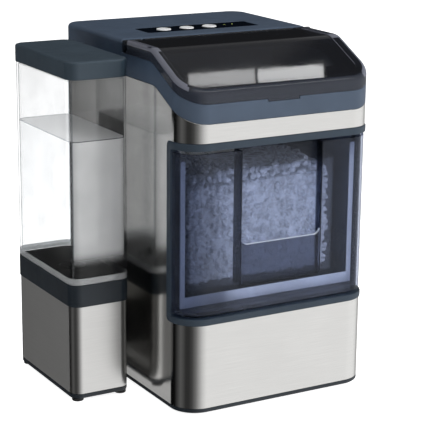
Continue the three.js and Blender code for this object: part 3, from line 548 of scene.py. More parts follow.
# Painted shade: the dark bead round the recess.
PAINTED_SHADE_LINE = plastic("dark_shade_line", (0.006, 0.008, 0.012), 0.5, specular=0.2)
LID_SMOKE = see_through("lid_smoke", (0.24, 0.25, 0.28), 0.15, (0.055, 0.06, 0.075), reflect=0.05)
LID_BORDER = see_through("lid_border", (0.22, 0.24, 0.28), 0.30, (0.09, 0.105, 0.145), reflect=0.04)
# Painted sheen: a lighter, milkier copy of the border's smoke for the upper faces of its arms, standing in
# for the light they reflect.
LID_PAINTED_SHEEN = see_through("lid_painted_sheen", (0.22, 0.24, 0.28), 0.5, (0.30, 0.315, 0.385), reflect=0.06)
# Frosted plastic for the drawer's flange; on the grip plate's top edge it is a painted highlight.
FROSTED_AND_PAINTED_HIGHLIGHT = see_through("frosted_and_highlight_plastic", (0.7, 0.74, 0.85), 0.8, (0.80, 0.84, 0.93), roughness=0.2)
CLEAR_TINT = (0.972, 0.974, 0.976)
CLEAR = see_through("clear_plastic", CLEAR_TINT, 0.004, (0.8, 0.82, 0.84), reflect=0.012, shine=0.6, rim=0.4)
# Painted shade: a darker clear on the tank's rounded corners and the water's top edge, standing in for the
# dark lines that refraction shows there.
CLEAR_PAINTED_SHADE = see_through("clear_painted_shade", (0.62, 0.64, 0.66), 0.1, (0.5, 0.51, 0.52), reflect=0.05)
BIN_CLEAR = see_through("bin_plastic", (0.92, 0.93, 0.955), 0.07, (0.6, 0.64, 0.72), reflect=0.05, rim=0.3)
CLEAR_FOOT = see_through("clear_thick_plastic", (0.9, 0.92, 0.93), 0.35, (0.62, 0.63, 0.64), reflect=0.1)
# Painted light: the front and top copies are far milkier than the sides, standing in for the bright light
# that the water's front refracts and its top reflects.
WATER = painted_light_water("water", 0.03)
WATER_FRONT_PAINTED_LIGHT = painted_light_water("water_front_painted_light", 0.5)
WATER_SURFACE_PAINTED_LIGHT = painted_light_water("water_surface_painted_light", 0.5)
ICE = ice_material()
LENS = plastic("lens", (0.55, 0.62, 0.16), 0.2)

PINS = ["lid_hinge_pin_left", "lid_hinge_pin_right"]
CAD_LOOKS = [
    (SILVER, [*PINS, "evaporator_barrel", "auger_motor", "auger", "motor_pinion", "valve_spring"]),
    (WHITE, ["ice_chute", "ice_head", "reservoir", "drive_gear", "reservoir_float", "valve_cap"]),
    (BLACK_PLASTIC, ["fan_shroud", "fan_rotor", "water_pump", "transfer_pump", "docking_bracket"]),
    (BOARD, ["control_board", "power_board"]),
    (LINER, ["drawer_bay"]),
    (GREY, ["gear_case"]),
    (ENAMEL, ["compressor"]),
    (ALUMINIUM, ["condenser"]),
    (COPPER, ["refrigerant_line"]),
    (RUBBER, ["valve_plunger"]),
]


def dress_cad_nodes():
    """Gives every CAD node that is carried over its material, and rounds its edges."""
    for material, names in CAD_LOOKS:
        for name in names:
            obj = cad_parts[name]
            obj.data.materials.clear()
            obj.data.materials.append(material)
            round_edges(obj, 0.25, 2, 40)


# ---- Main unit ----


def steel_body():
    shell = extrude(body_plan(0), 7.5, 378.7)
    window = rounded_rect(-60, FRAME["back"] + GAP, FRAME["z0"] - GAP, FRAME["z1"] + GAP, 6)
    carve(
        shell,
        ("cut", extrude(body_plan(SHEET), 0, 400)),
        ("cut", shoulder_block(CAP_EDGE, "above", GAP)),
        ("cut", extrude(window, *ACROSS, "x")),
        ("cut", block(REAR["x0"], REAR["x1"], BODY["depth"] - 8, BODY["depth"] + 5, 0, 400)),
        ("cut", port(-5, 5)),
    )
    soften(shell, 0.35)
    piece(shell, "steel_body", "machine", STEEL, replaces=["steel_wrap"], slot="brushed_steel")


def base():
    pan = soft_block(body_plan, 2, 7.2, top=0.8, bottom=2.2)
    feet = [(x, y) for x in (34, BODY["width"] - 34) for y in (34, BODY["depth"] - 30)]
    holes = together([rod("z", 4.4, 0, 10, x, y) for x, y in feet])
    rim = extrude(body_plan(SHEET + GAP), 6, 22)
    carve(pan, ("add", rim), ("cut", extrude(body_plan(SHEET + GAP + WALL), 5, 30)), ("cut", holes))
    soften(pan, 0)
    piece(pan, "base_tray", "machine", DARK_NAVY, replaces=["base_pan"], slot="dark_navy_plastic")
    profile = [(0, 0), (8.6, 0), (9.8, 0.3), (10.7, 1.1), (11, 1.6), (11, 1.7), (4, 1.7), (4, 5), (0, 5)]
    rubber_feet("foot", feet, profile)


def rubber_feet(kind, places, profile):
    for i, (x, y) in enumerate(places):
        name = f"{kind}_{i + 1}"
        obj = smooth(lathe(profile, x, y), 40)
        piece(obj, f"{name}_rubber", "machine", RUBBER, replaces=[name], slot="rubber")


def lid_space():
    """What the closed lid fills above the cap's deck; its rear wall flares out into a rounded step."""
    region = shoulder_region(LID_EDGE, "above", GAP, STEP_Y)
    flare = arc(STEP_Y + 3.5, 416.5, 3.5, 0.5, 6, -0.25)
    outline = region[:-2] + flare + [(STEP_Y + 3.5, 500), (-20, 500)]
    return extrude(outline, *ACROSS, "x")


def hinge_lug(x):
    half = 1.75
    outline = [(HINGE["y"] + 5, 402.5), (HINGE["y"] + 5, HINGE["z"])]
    outline += arc(HINGE["y"], HINGE["z"], 5, 0, 16, 0.5)[1:] + [(HINGE["y"] - 5, 402.5)]
    lug = extrude(outline, x - half, x + half, "x")
    return carve(lug, ("cut", rod("x", 1.9, x - 5, x + 5, HINGE["y"], HINGE["z"])))


def top_cap():
    cap = soft_block(body_plan, 320, BODY["height"], top=5)
    front_hollow = extrude(body_plan(WALL), 300, 430)
    carve(front_hollow, ("keep", shoulder_block(LID_EDGE, "below", GAP + 3.2)))
    rear_hollow = extrude(body_plan(WALL), 300, BODY["height"] - 5)
    carve(rear_hollow, ("keep", block(-5, 300, STEP_Y + WALL, 400, 290, 430)))
    pocket = rounded_rect(*sides(STRIP), 3.3, steps=6)
    holes = [rod("z", 9.6, 400, 430, x, BUTTON["y"]) for x in BUTTONS.values()]
    holes += [rod("z", 2, 400, 430, x, y, 16) for x, y in LAMPS.values()]
    mouth = rounded_rect(*sides(MOUTH), 10, steps=6)
    notch = block(LID_TAB["x0"] - 1, LID_TAB["x1"] + 1, -2, 3.6, LID_TAB["z0"] - GAP, LID_TAB["z0"] + 8)
    lugs = [hinge_lug(HINGE["left"]), hinge_lug(BODY["width"] - HINGE["left"])]
    carve(
        cap,
        ("cut", shoulder_block(CAP_EDGE, "below")),
        ("cut", lid_space()),
        ("cut", front_hollow),
        ("cut", rear_hollow),
        ("cut", extrude(mouth, 300, 430)),
        ("cut", extrude(pocket, BODY["height"] - STRIP["pocket"], 430)),
        ("cut", together(holes)),
        ("cut", notch),
        ("add", together(lugs)),
    )
    soften(cap, 0.5)
    piece(cap, "cap_shell", "machine", NAVY, replaces=["top_cap"], slot="navy_plastic")


def lid():
    """The smoked lid: a wide rounded border, a slightly sunk panel, and a round back edge on the hinge."""
    rear = HINGE["y"] + HINGE["radius"]
    plan = rounded_rect(0, BODY["width"], 0, rear, BODY["front"], 4, steps=16)
    shell = extrude(plan, 340, BODY["height"])
    carve(
        shell,
        ("keep", block(-5, 300, -5, HINGE["y"], 300, 430)),
        ("cut", shoulder_block(LID_EDGE, "below")),
        ("cut", shoulder_block(LID_TOP, "above")),
        ("cut", sunk_panel()),
    )
    round_lid_border(shell, 5.5)
    nose = rod("x", HINGE["radius"], 0, BODY["width"], HINGE["y"], HINGE["z"], 48)
    carve(nose, ("keep", extrude(plan, 340, 430)))
    side = WALL + 0.2
    inner_plan = rounded_rect(side, BODY["width"] - side, side, HINGE["y"] - HINGE["radius"], 28.8, 6)
    hollow = extrude(inner_plan, 340, 430)
    carve(hollow, ("cut", shoulder_block(LID_TOP, "above", 2.8)))
    tab = rounded_rect(LID_TAB["x0"], LID_TAB["x1"], LID_TAB["z0"], LID_EDGE["front"] + 4, 2, 0.1, 4)
    reliefs = [hinge_relief(HINGE["left"]), hinge_relief(BODY["width"] - HINGE["left"])]
    carve(
        shell,
        ("add", nose),
        ("cut", hollow),
        ("add", extrude(tab, 0, LID_TAB["depth"], "y")),
        ("cut", together(reliefs)),
    )
    soften(shell, 0.3)
    piece(shell, "lid_shell", "lid", LID_SMOKE, LID_BORDER, LID_PAINTED_SHEEN, replaces=["lid"], slot="smoked_plastic")
    paint(shell, 1, is_lid_border)
    # Painted sheen on the upper faces of the border's arms.
    paint(shell, 2, is_lid_painted_sheen)


def hinge_relief(x):
    """The slot in the lid's back edge round one of the cap's lugs, and the bore for its pin."""
    slot = block(x - 2.05, x + 2.05, HINGE["y"] - 6.8, HINGE["y"] + 20, 395, 430)
    return carve(slot, ("add", rod("x", 1.9, x - 6.5, x + 6.5, HINGE["y"], HINGE["z"])))


def sunk_panel():
    """What is taken off the lid's top inside its border."""
    plan = rounded_rect(10, BODY["width"] - 15, 9, HINGE["y"] - 2, 20, 4)
    return carve(extrude(plan, 340, 430), ("keep", shoulder_block(LID_TOP, "above", 0.8)))


def is_between_arms(at):
    """Whether a point is between the lid border's left and right arms."""
    return 10.5 < at.x < BODY["width"] - 15.5


def is_lid_border(at, _normal):
    """The lid's rounded border and its front and side walls, which are thicker than its middle."""
    inside = is_between_arms(at) and at.y > 9.5
    return not inside and at.y < HINGE["y"] - 12


def is_lid_painted_sheen(at, normal):
    """The upper faces of the border's left and right arms, which get a painted sheen: a lighter, milkier copy
    of the border's smoke.
    """
    return is_lid_border(at, normal) and normal.z > 0.25 and not is_between_arms(at)


def distance_to_plan(at):
    """How far inside the lid's plan outline a point is, in millimetres."""
    radius = BODY["front"]
    inside = min(at.x, BODY["width"] - at.x, at.y)
    across = radius - min(at.x, BODY["width"] - at.x)
    ahead = radius - at.y
    if across > 0 and ahead > 0:
        return radius - math.hypot(across, ahead)
    return inside


def round_lid_border(shell, radius):
    """Rounds the edge between the lid's top and its sides and front, by a radius in millimetres."""
    bm = bmesh.new()
    bm.from_mesh(shell.data)
    bmesh.ops.remove_doubles(bm, verts=bm.verts, dist=0.02 * MM)
    back = to_metres(0, HINGE["y"] - 0.5, 0).y
    border = []
    for edge in bm.edges:
        middle = to_millimetres((edge.verts[0].co + edge.verts[1].co) / 2)
        outside = distance_to_plan(middle) < 1
        if len(edge.link_faces) != 2 or not outside or min(vert.co.y for vert in edge.verts) > back:
            continue
        upright = [face for face in edge.link_faces if abs(face.normal.z) < 0.2 and face.normal.y < 0.999]
        top = [face for face in edge.link_faces if face.normal.z > 0.6]
        if upright and len(top) == 1:
            border.append(edge)
    bmesh.ops.bevel(
        bm,
        geom=border,
        offset=radius * MM,
        offset_type="OFFSET",
        segments=6,
        profile=0.5,
        affect="EDGES",
        clamp_overlap=False,
    )
    bm.to_mesh(shell.data)
    bm.free()


def control_strip():
    outline = rounded_rect(*sides(STRIP, GAP), 3, steps=6)
    plate = extrude(outline, BODY["height"] - STRIP["pocket"] + GAP, STRIP["top"])
    holes = [rod("z", 9.4, 400, 430, x, BUTTON["y"], 48) for x in BUTTONS.values()]
    holes += [rod("z", 1.8, 400, 430, x, y, 16) for x, y in LAMPS.values()]
    carve(plate, ("cut", together(holes)))
    soften(plate, 0.25)
    piece(plate, "strip_plate", "machine", STRIP_BLACK, replaces=["control_strip"], slot="black_gloss")


def push_buttons():
    """Dished round buttons with a flange that holds them under the strip."""
    r, z, low = BUTTON["radius"], BUTTON["top"], BUTTON["bottom"]
    profile = [(0, low), (BUTTON["flange"], low), (BUTTON["flange"], low + 2), (r, low + 2)]
    profile += [(r, z - 1.2), (r - 0.12, z - 0.75), (r - 0.45, z - 0.35), (r - 0.9, z - 0.1)]
    profile += [(r - 1.4, z), (r - 2.6, z - 0.15), (r - 4.5, z - 0.45), (0, z - 0.6)]
    for name, x in BUTTONS.items():
        obj = smooth(lathe(profile, x, BUTTON["y"]), 40)
        piece(obj, f"{name}_cap", name, BUTTON_METAL, replaces=[name], slot="silver_metal")


def indicator_lamps():
    top = STRIP["top"]
    profile = [(0, 409), (1.5, 409), (1.5, top - 0.4), (1.2, top - 0.1), (0, top)]
    for name, (x, y) in LAMPS.items():
        obj = smooth(lathe(profile, x, y, steps=24), 40)
        piece(obj, f"{name}_dome", "machine", LENS, replaces=[name], slot="clear_plastic")


def drawer_frame():
    ring = extrude(body_plan(-FRAME["proud"]), FRAME["z0"], FRAME["z1"])
    profile = rounded_rect(-60, FRAME["back"], FRAME["z0"], FRAME["z1"], 5.7)
    window = rounded_rect(WINDOW["x0"], WINDOW["x1"], WINDOW["z0"], WINDOW["z1"], 4, steps=6)
    wrap = rounded_rect(-60, WINDOW["wrap"], WINDOW["z0"], WINDOW["z1"], 3, steps=6)
    carve(
        ring,
        ("cut", extrude(body_plan(10), 0, 400)),
        ("keep", extrude(profile, *ACROSS, "x")),
        ("cut", extrude(window, -5, 60, "y")),
        ("cut", extrude(wrap, *ACROSS, "x")),
    )
    soften(ring, 0.9, 3)
    piece(ring, "frame_ring", "machine", FRAME_NAVY, replaces=["drawer_frame"], slot="navy_plastic")


# ---- Drawer, bin and ice ----


def drawer_extent(inset):
    """The drawer's front goes round both corners, and the box behind it is narrower."""
    front = block(-5, BODY["width"] + 5, -5, DRAWER["wrap"] - inset, 50, 400)
    behind = block(DRAWER["x0"] + inset, DRAWER["x1"] - inset, 5, DRAWER["y1"] - inset, 50, 400)
    return carve(front, ("add", behind))


def drawer():
    y0 = DRAWER["y0"]
    shell = extrude(body_plan(y0), DRAWER["z0"], DRAWER["z1"])
    inner = carve(extrude(body_plan(y0 + WALL), DRAWER["z0"] + WALL, 330), ("keep", drawer_extent(WALL)))
    r = RECESS
    pod_sides = (r["x0"] - WALL, r["x1"] + WALL, r["z0"] - WALL, DRAWER["z1"])
    pod_outline = rounded_rect(*pod_sides, r["corner"] + WALL, 0.1)
    recess_outline = rounded_rect(r["x0"], r["x1"], r["z0"], DRAWER["z1"] + 1, r["corner"], 0.1, 8)
    carve(
        shell,
        ("keep", drawer_extent(0)),
        ("cut", inner),
        ("add", extrude(pod_outline, y0, r["depth"] + WALL, "y")),
        ("cut", extrude(recess_outline, -5, r["depth"], "y")),
        ("add", grip_plate()),
    )
    soften(shell, 0.45)
    looks = (SMOKE, SMOKE_PAINTED_SHADE, FROSTED_AND_PAINTED_HIGHLIGHT)
    piece(shell, "drawer_shell", "drawer", *looks, replaces=["ice_drawer"], slot="smoked_plastic")
    # Painted shade on the recess's walls and the upper rim.
    paint(shell, 1, is_recess_painted_shade)
    # Painted highlight on the grip plate's top edge.
    paint(shell, 2, is_grip_painted_highlight)


def is_recess_painted_shade(at, normal):
    """The recess's side walls and floor, and the drawer's upper rim, which get a painted shade: a far darker
    smoke that stands in for the dark outline they show.
    """
    r = RECESS
    inside = r["x0"] - WALL - 1 < at.x < r["x1"] + WALL + 1 and at.z > r["z0"] - WALL - 1
    shallow = at.y < r["depth"] + WALL - 0.5
    turned = abs(normal.y) < 0.75
    return (inside and shallow and turned) or (normal.z > 0.5 and at.z > DRAWER["z1"] - 1)


def is_grip_painted_highlight(at, normal):
    """The upward edge of the grip plate, which gets the light frosted material as a painted highlight."""
    return normal.z > 0.3 and at.y < DRAWER["y0"] + WALL + 0.1 and 195 < at.z < 212


def grip_plate():
    """The low front plate that fingers hook behind; its top edge sweeps up at both ends."""
    r = RECESS
    height = r["grip"] + r["sweep"]
    outline = [(r["x0"] - 0.5, r["z0"] - 0.5), (r["x1"] + 0.5, r["z0"] - 0.5), (r["x1"] + 0.5, height)]
    outline += arc(r["x1"] - r["sweep"], height, r["sweep"], 0, 10, -0.25)
    outline += arc(r["x0"] + r["sweep"], height, r["sweep"], 0.75, 10, -0.25)
    outline.append((r["x0"] - 0.5, height))
    return extrude(outline, DRAWER["y0"], DRAWER["y0"] + WALL, "y")


def recess_shade_line():
    """A painted shade line: a dark bead that follows the recess's sides and foot on the drawer's front, where
    the recess shows a dark outline.
    """
    front, back = DRAWER["y0"] - 0.25, DRAWER["y0"] + 0.4
    rings = []
    for (x_out, z_out), (x_in, z_in) in zip(recess_path(1.2), recess_path(0)):
        rings.append([(x_out, front, z_out), (x_in, front, z_in), (x_in, back, z_in), (x_out, back, z_out)])
    piece(soften(skin(rings), 0.12, 1), "recess_shade_line", "drawer", PAINTED_SHADE_LINE, slot="smoked_plastic")


def recess_path(outset):
    """Down the recess's right side, along its foot and up its left side."""
    radius = RECESS["corner"] + outset
    x0, x1, z0 = RECESS["x0"] - outset, RECESS["x1"] + outset, RECESS["z0"] - outset
    top = DRAWER["z1"] - 1
    right = arc(x1 - radius, z0 + radius, radius, 0, 8, -0.25)
    left = arc(x0 + radius, z0 + radius, radius, 0.75, 8, -0.25)
    return [(x1, top), *right, *left, (x0, top)]


def drawer_flange():
    """The frosted U-shaped flange that stands on the drawer's floor in front of the bin."""
    low = DRAWER["z0"] + WALL + 0.05
    x0, x1 = 10, BODY["width"] - 10
    flange = block(x0, x1, 27, 29.5, low, 298)
    carve(flange, ("cut", block(x0 + 6, x1 - 6, 20, 40, low + 13, 330)))
    soften(flange, 0.8)
    piece(flange, "drawer_flange", "drawer", FROSTED_AND_PAINTED_HIGHLIGHT, slot="smoked_plastic")


def bin_plan(inset):
    return rounded_rect(*sides(BIN, inset), BIN["radius"] - inset)


def ice_bin():
    """A clear tub with a lip round its top and foot, drain slots in its floor and two ribs below."""
    low, high = BIN["z0"], BIN["z1"]
    shell = extrude(bin_plan(0), low, high)
    band = carve(extrude(bin_plan(0), low + 12, high - 5), ("cut", extrude(bin_plan(0.8), 100, 330)))
    drains = [extrude(rounded_rect(60, 197, y, y + 5, 2.4, steps=4), 130, 141) for y in (60, 120, 180)]
    ribs = [block(x, x + 4, 60, 190, DRAWER["z0"] + WALL + GAP, low + 1) for x in (40, 200)]
    carve(
        shell,
        ("cut", band),
        ("cut", extrude(bin_plan(BIN["wall"]), low + BIN["wall"], 330)),
        ("cut", together(drains)),
        ("add", together(ribs)),
    )
    soften(shell, 0.4)
    piece(shell, "bin_shell", "drawer", BIN_CLEAR, replaces=["ice_bin"], slot="clear_plastic")


def heap_height(x, y):
    """The ice heap's height over the bin: highest in the middle, under the chute."""
    across = (x - 136) / 105
    along = (y - 122) / 95
    return 285 - 20 * across**2 - 8 * along**2


def nugget_places(chance):
    """Loose positions along the bin's walls and in the top layers of the heap."""
    pitch = 7.4
    counts = (26, 20, 18)
    for i in range(counts[0]):
        for j in range(counts[1]):
            for k in range(counts[2]):
                x, y, z = 35 + i * pitch, 50 + j * pitch, 147 + k * pitch
                top = heap_height(x, y)
                near_wall = 0 in (i, j, counts[0] - 1 - i, counts[1] - 1 - j)
                if z < top and (near_wall or z > top - 1.2 * pitch):
                    yield Vector([c + chance.uniform(-2.2, 2.2) for c in (x, y, z)])


def ball_shape():
    """The points and faces of a ball with a radius of 1."""
    ball = bmesh.new()
    bmesh.ops.create_icosphere(ball, subdivisions=2, radius=1)
    points = [vert.co.copy() for vert in ball.verts]
    faces = [[vert.index for vert in face.verts] for face in ball.faces]
    ball.free()
    return points, faces


def ice_nuggets():
    """Balls that are stretched, turned and dented at random."""
    chance = random.Random(7)
    ball_points, ball_faces = ball_shape()
    points = []
    faces = []
    for centre in nugget_places(chance):
        size = [chance.uniform(3.0, 5.6) for _ in range(3)]
        axis = Vector([chance.uniform(-1, 1) for _ in range(3)])
        turn = Matrix.Rotation(chance.uniform(0, 6.3), 3, axis)
        start = len(points)
        for corner in ball_points:
            dent = chance.uniform(0.72, 1.1)
            local = turn @ Vector([c * s * dent for c, s in zip(corner, size)])
            points.append(to_metres(*(centre + local)))
        faces += [[start + index for index in face] for face in ball_faces]
    mesh = bpy.data.meshes.new("ice_nuggets")
    mesh.from_pydata(points, [], faces)
    nuggets = bpy.data.objects.new("ice_nuggets", mesh)
    SCENE.collection.objects.link(nuggets)
    rounding = nuggets.modifiers.new("melt", "SMOOTH")
    rounding.factor = 0.4
    rounding.iterations = 1
    settle(nuggets).data.shade_smooth()
    nuggets.data.set_sharp_from_angle(angle=math.radians(28))
    piece(nuggets, "ice_nuggets", "drawer", ICE)


def ice_core():
    """The solid heap under the loose nuggets."""
    plan = rounded_rect(33, 222, 48, 192, 8)
    crown = rounded_rect(90, 180, 95, 150, 8)
    rings = [[(x, y, 146) for x, y in plan]]
    rings.append([(x, y, heap_height(x, y) - 7) for x, y in plan])
    rings.append([(x, y, heap_height(x, y) - 6) for x, y in crown])
    piece(smooth(skin(rings), 60), "ice_core", "drawer", ICE)


# ---- Side tank ----


def tank_sleeve():
    shell = extrude(tank_plan(SLEEVE_INSET), 10, 117.7)
    hollow = extrude(tank_plan(SLEEVE_INSET + SHEET), 0, 130)
    carve(shell, ("cut", hollow), ("cut", port(-25, -5)))
    soften(shell, 0.35)
    piece(shell, "base_sleeve", "machine", TANK_STEEL, replaces=["tank_base_shell"], slot="brushed_steel")


def tank_base_pan():
    pan = soft_block(lambda inset: tank_plan(SLEEVE_INSET + inset), 4, 9.7, top=0.6, bottom=2)
    inner = SLEEVE_INSET + SHEET + GAP
    x0, x1, y0, y1 = sides(TANK, TANK_FOOT_INSET)
    feet = [(x, y) for x in (x0, x1) for y in (y0, y1)]
    carve(
        pan,
        ("add", extrude(tank_plan(inner), 9, 22)),
        ("cut", extrude(tank_plan(inner + 2.5), 7, 30)),
        ("cut", together([rod("z", 3.4, 0, 10, x, y) for x, y in feet])),
    )
    soften(pan, 0)
    piece(pan, "tank_tray", "machine", DARK_NAVY, replaces=["tank_base_pan"], slot="dark_navy_plastic")
    profile = [(0, 0), (5.6, 0), (6.5, 0.3), (7, 1), (7, 3.7), (3, 3.7), (3, 6.8), (0, 6.8)]
    rubber_feet("tank_foot", feet, profile)


def tank_collar():
    """The navy collar with the round well that the tank's neck stands in."""
    floor_z, radius = SOCKET["floor"], SOCKET["radius"]
    x, y = SOCKET["x"], SOCKET["y"]
    collar = soft_block(tank_plan, 118, 144.5, top=1, bottom=0.6)
    carve(
        collar,
        ("cut", extrude(tank_plan(WALL), 100, 140.5)),
        ("add", rod("z", radius + WALL, floor_z - 3, 144.5, x, y, 48)),
        ("cut", rod("z", radius, floor_z, 150, x, y, 48)),
        ("add", rod("z", 2.4, floor_z - 1, 127.2, x, y)),
        ("cut", rod("z", 3, floor_z - 6, floor_z + 1, x, y + 9)),
    )
    soften(collar, 0.3)
    piece(collar, "collar_shell", "machine", DARK_NAVY, replaces=["tank_collar"], slot="dark_navy_plastic")


def tank_wall():
    """The clear tank with its ledge for the lid, and a neck with four holes for the valve and the water."""
    x, y = SOCKET["x"], SOCKET["y"]
    wall = extrude(tank_plan(0.6), 144.8, 385.7)
    holes = [rod("z", 2.7, 120, 151, x, y)]
    for i in range(3):
        turn = 2 * math.pi * i / 3
        holes.append(rod("z", 2.6, 140, 151, x + 7 * math.cos(turn), y + 7 * math.sin(turn), 24))
    neck = rod("z", 14, 128, 145.5, x, y, 48)
    carve(neck, ("cut", rod("z", 11, 120, 144.8, x, y, 48)))
    carve(
        wall,
        ("add", extrude(tank_plan(3), 380, 397)),
        ("cut", extrude(tank_plan(3.2), 150, 383.3)),
        ("cut", extrude(tank_plan(5.4), 380, 400)),
        ("add", neck),
        ("cut", together(holes)),
    )
    soften(wall, 0.3)
    piece(wall, "tank_wall", "tank", CLEAR, CLEAR_PAINTED_SHADE, replaces=["side_tank"], slot="clear_plastic")
    # Painted shade in the middle of each rounded corner.
    paint(wall, 1, lambda at, normal: abs(normal.x) > 0.7 and abs(normal.y) > 0.64)


def tank_foot_ring():
    ring = soft_block(tank_plan, 144.8, 153, top=1.5, bottom=1)
    carve(ring, ("cut", extrude(tank_plan(0.61), 100, 200)))
    soften(ring, 0)
    piece(ring, "tank_foot_ring", "tank", CLEAR_FOOT, slot="clear_plastic")


def tank_water():
    water = soft_block(lambda inset: tank_plan(3.3 + inset), 150.05, WATER_TOP, top=1.2, steps=3)
    soften(water, 0)
    piece(water, "tank_water", "tank", WATER, WATER_FRONT_PAINTED_LIGHT, WATER_SURFACE_PAINTED_LIGHT, CLEAR_PAINTED_SHADE)
    # Painted light on the water's front faces and its top.
    paint(water, 1, lambda at, normal: normal.y < -0.6)
    paint(water, 2, lambda at, normal: normal.z > 0.9)
    # Painted shade on the water's rounded top edge.
    paint(water, 3, lambda at, normal: 0.2 < normal.z < 0.9)


def tank_lid():
    shell = soft_block(tank_plan, 386, 407, top=3, bottom=0.8)
    carve(shell, ("cut", extrude(tank_plan(2.6), 380, 402)))
    soften(shell, 0)
    piece(shell, "tank_cover", "tank_lid", TANK_NAVY, replaces=["tank_lid"], slot="navy_plastic")


# ---- Back ----


def rear_cover():
    y0, y1 = REAR["y"], BODY["depth"] - GAP
    panel = block(REAR["x0"] + GAP, REAR["x1"] - GAP, y0, y1, REAR["z0"], REAR["z1"])
    slots = []
    for x in (36, 136):
        for z in range(56, 148, 13):
            slots.append(extrude(rounded_rect(x, x + 85, z, z + 5, 2.4, steps=5), y0 - 5, y1 + 5, "y"))
    holes = [rod("y", 2.2, y0 - 5, y1 + 5, x, z, 20) for x, z in REAR_SCREWS]
    for opening in (GLAND, DRAIN):
        holes.append(rod("y", opening["radius"] + GAP, y0 - 5, y1 + 5, opening["x"], opening["z"], 40))
    carve(panel, ("cut", together(slots + holes)))
    soften(panel, 0.5)
    piece(panel, "rear_cover", "machine", GREY, replaces=["rear_panel"], slot="grey_plastic")


def rear_screws():
    """Low round heads with a cross slot, and their shanks."""
    profile = [(0, -9), (1.9, -9), (1.9, -0.2), (4, -0.2), (3.8, -0.08), (3, 0), (0, 0)]
    y = BODY["depth"]
    for i, (x, z) in enumerate(REAR_SCREWS):
        head = lathe(profile, x, y, z, "y", 32)
        carve(
            head,
            ("cut", block(x - 2, x + 2, y - 1, y + 1, z - 0.4, z + 0.4)),
            ("cut", block(x - 0.4, x + 0.4, y - 1, y + 1, z - 2, z + 2)),
        )
        name = f"rear_screw_{i + 1}"
        piece(smooth(head, 30), f"{name}_head", "machine", SILVER, replaces=[name], slot="silver_metal")


def gland_bush():
    r = GLAND["radius"]
    profile = [(4.2, -5.5), (r + 2, -5.5), (r + 2, -3.3), (r, -3.3), (r, -0.9), (r - 0.6, -0.35)]
    profile += [(5, -0.35), (4.2, -1.2)]
    piece(ring_of(profile, GLAND), "gland_bush", "machine", RUBBER, replaces=["cord_gland"], slot="rubber")


def drain():
    r = DRAIN["radius"]
    profile = [(4, -6), (r + 3, -6), (r + 3, -3.3), (r, -3.3), (r, -2.3), (r - 0.4, -2), (4, -2)]
    spout = ring_of(profile, DRAIN)
    piece(spout, "drain_pipe", "machine", WHITE, replaces=["drain_spout"], slot="white_plastic")
    profile = [(0, -9), (3.3, -9), (3.6, -8.6), (3.6, -1.7), (5.6, -1.7), (5.6, -0.5), (5.1, 0), (0, 0)]
    cap = smooth(lathe(profile, DRAIN["x"], BODY["depth"], DRAIN["z"], "y"), 40)
    piece(cap, "drain_plug", "drain_cap", RUBBER, replaces=["drain_cap"], slot="rubber")


def ring_of(profile, place):
    """A ring turned about a line along Y, from a closed profile of (radius, y from the back face) points."""
    steps = 48
    bm = bmesh.new()
    loops = []
    for a, b in arc(0, 0, 1, 0, steps, 1)[:-1]:
        points = [(place["x"] + r * a, BODY["depth"] + h, place["z"] + r * b) for r, h in profile]
        loops.append([bm.verts.new(to_metres(*point)) for point in points])
    for i, loop in enumerate(loops):
        after = loops[(i + 1) % steps]
        for j in range(len(profile)):
            k = (j + 1) % len(profile)
            bm.faces.new((loop[j], loop[k], after[k], after[j]))
    return smooth(to_object(bm), 40)


# ---- Studio ----


def floor():
    bm = bmesh.new()
    bmesh.ops.create_grid(bm, x_segments=8, y_segments=8, size=30)
    obj = to_object(bm, "floor")
    for face in obj.data.polygons:
        if face.normal.z < 0:
            face.flip()
    obj.data.materials.append(floor_material())
    obj.visible_glossy = False


# The brightness all round the room, as (angle in degrees, brightness): right is 0, the back is 90.
WALL_LIGHT = [(0, 0.85), (10, 0.7), (20, 0.4), (36, 0.6), (50, 0.6), (54, 0.015), (90, 0.015), (112, 0.05)]
WALL_LIGHT += [(114.5, 0.08), (116, 0.3), (116.8, 0.5), (119.4, 0.5), (121, 0.06), (124, 0.0), (150, 0.005)]
WALL_LIGHT += [(166, 0.05), (180, 0.10), (192, 0.07), (204, 0.03), (218, 0.03), (232, 0.06), (248, 0.18)]
WALL_LIGHT += [(262, 0.4), (276, 0.65), (292, 0.83), (320, 0.9), (345, 0.9), (360, 0.85)]
CEILING_LIGHT = [(0, 0.25), (20, 0.05), (35.4, 0.05), (36.6, 0.28), (100, 0.3), (180, 0.45), (300, 0.6)]
CEILING_LIGHT += [(345, 0.45)]


def surroundings():
    """The studio's walls, bright to the front right and dark to the left, and a dimmer ceiling."""
    world = bpy.data.worlds.new("studio")
    SCENE.world = world
    world.use_nodes = True
    tree = world.node_tree
    tree.nodes.clear()
    direction = node(tree, "TexCoord").outputs["Generated"]
    x, y, z = node(tree, "SeparateXYZ", {0: direction}).outputs
    heading = node(tree, "Math", {0: y, 1: x}, operation="ARCTAN2")
    turns = node(tree, "Math", {0: heading, 1: 2 * math.pi}, operation="DIVIDE")
    around = node(tree, "Math", {0: turns}, operation="FRACT")
    walls = node(tree, "ValToRGB", {0: around})
    fill_ramp(walls.color_ramp, WALL_LIGHT)
    low = node(tree, "MapRange", {"Value": z, "From Min": 0.3, "From Max": 0.6, "To Min": 1.0, "To Max": 0.0})
    overhead = node(tree, "ValToRGB", {0: around})
    fill_ramp(overhead.color_ramp, CEILING_LIGHT)
    studio = node(tree, "Background", {"Color": mix(tree, low, overhead, walls), "Strength": 1.0})
    backdrop = node(tree, "Background", {"Color": (1, 1, 1, 1), "Strength": 1.0})
    seen = node(tree, "LightPath").outputs["Is Camera Ray"]
    mixed = node(tree, "MixShader", {0: seen, 1: studio, 2: backdrop})
    node(tree, "OutputWorld", {"Surface": mixed})


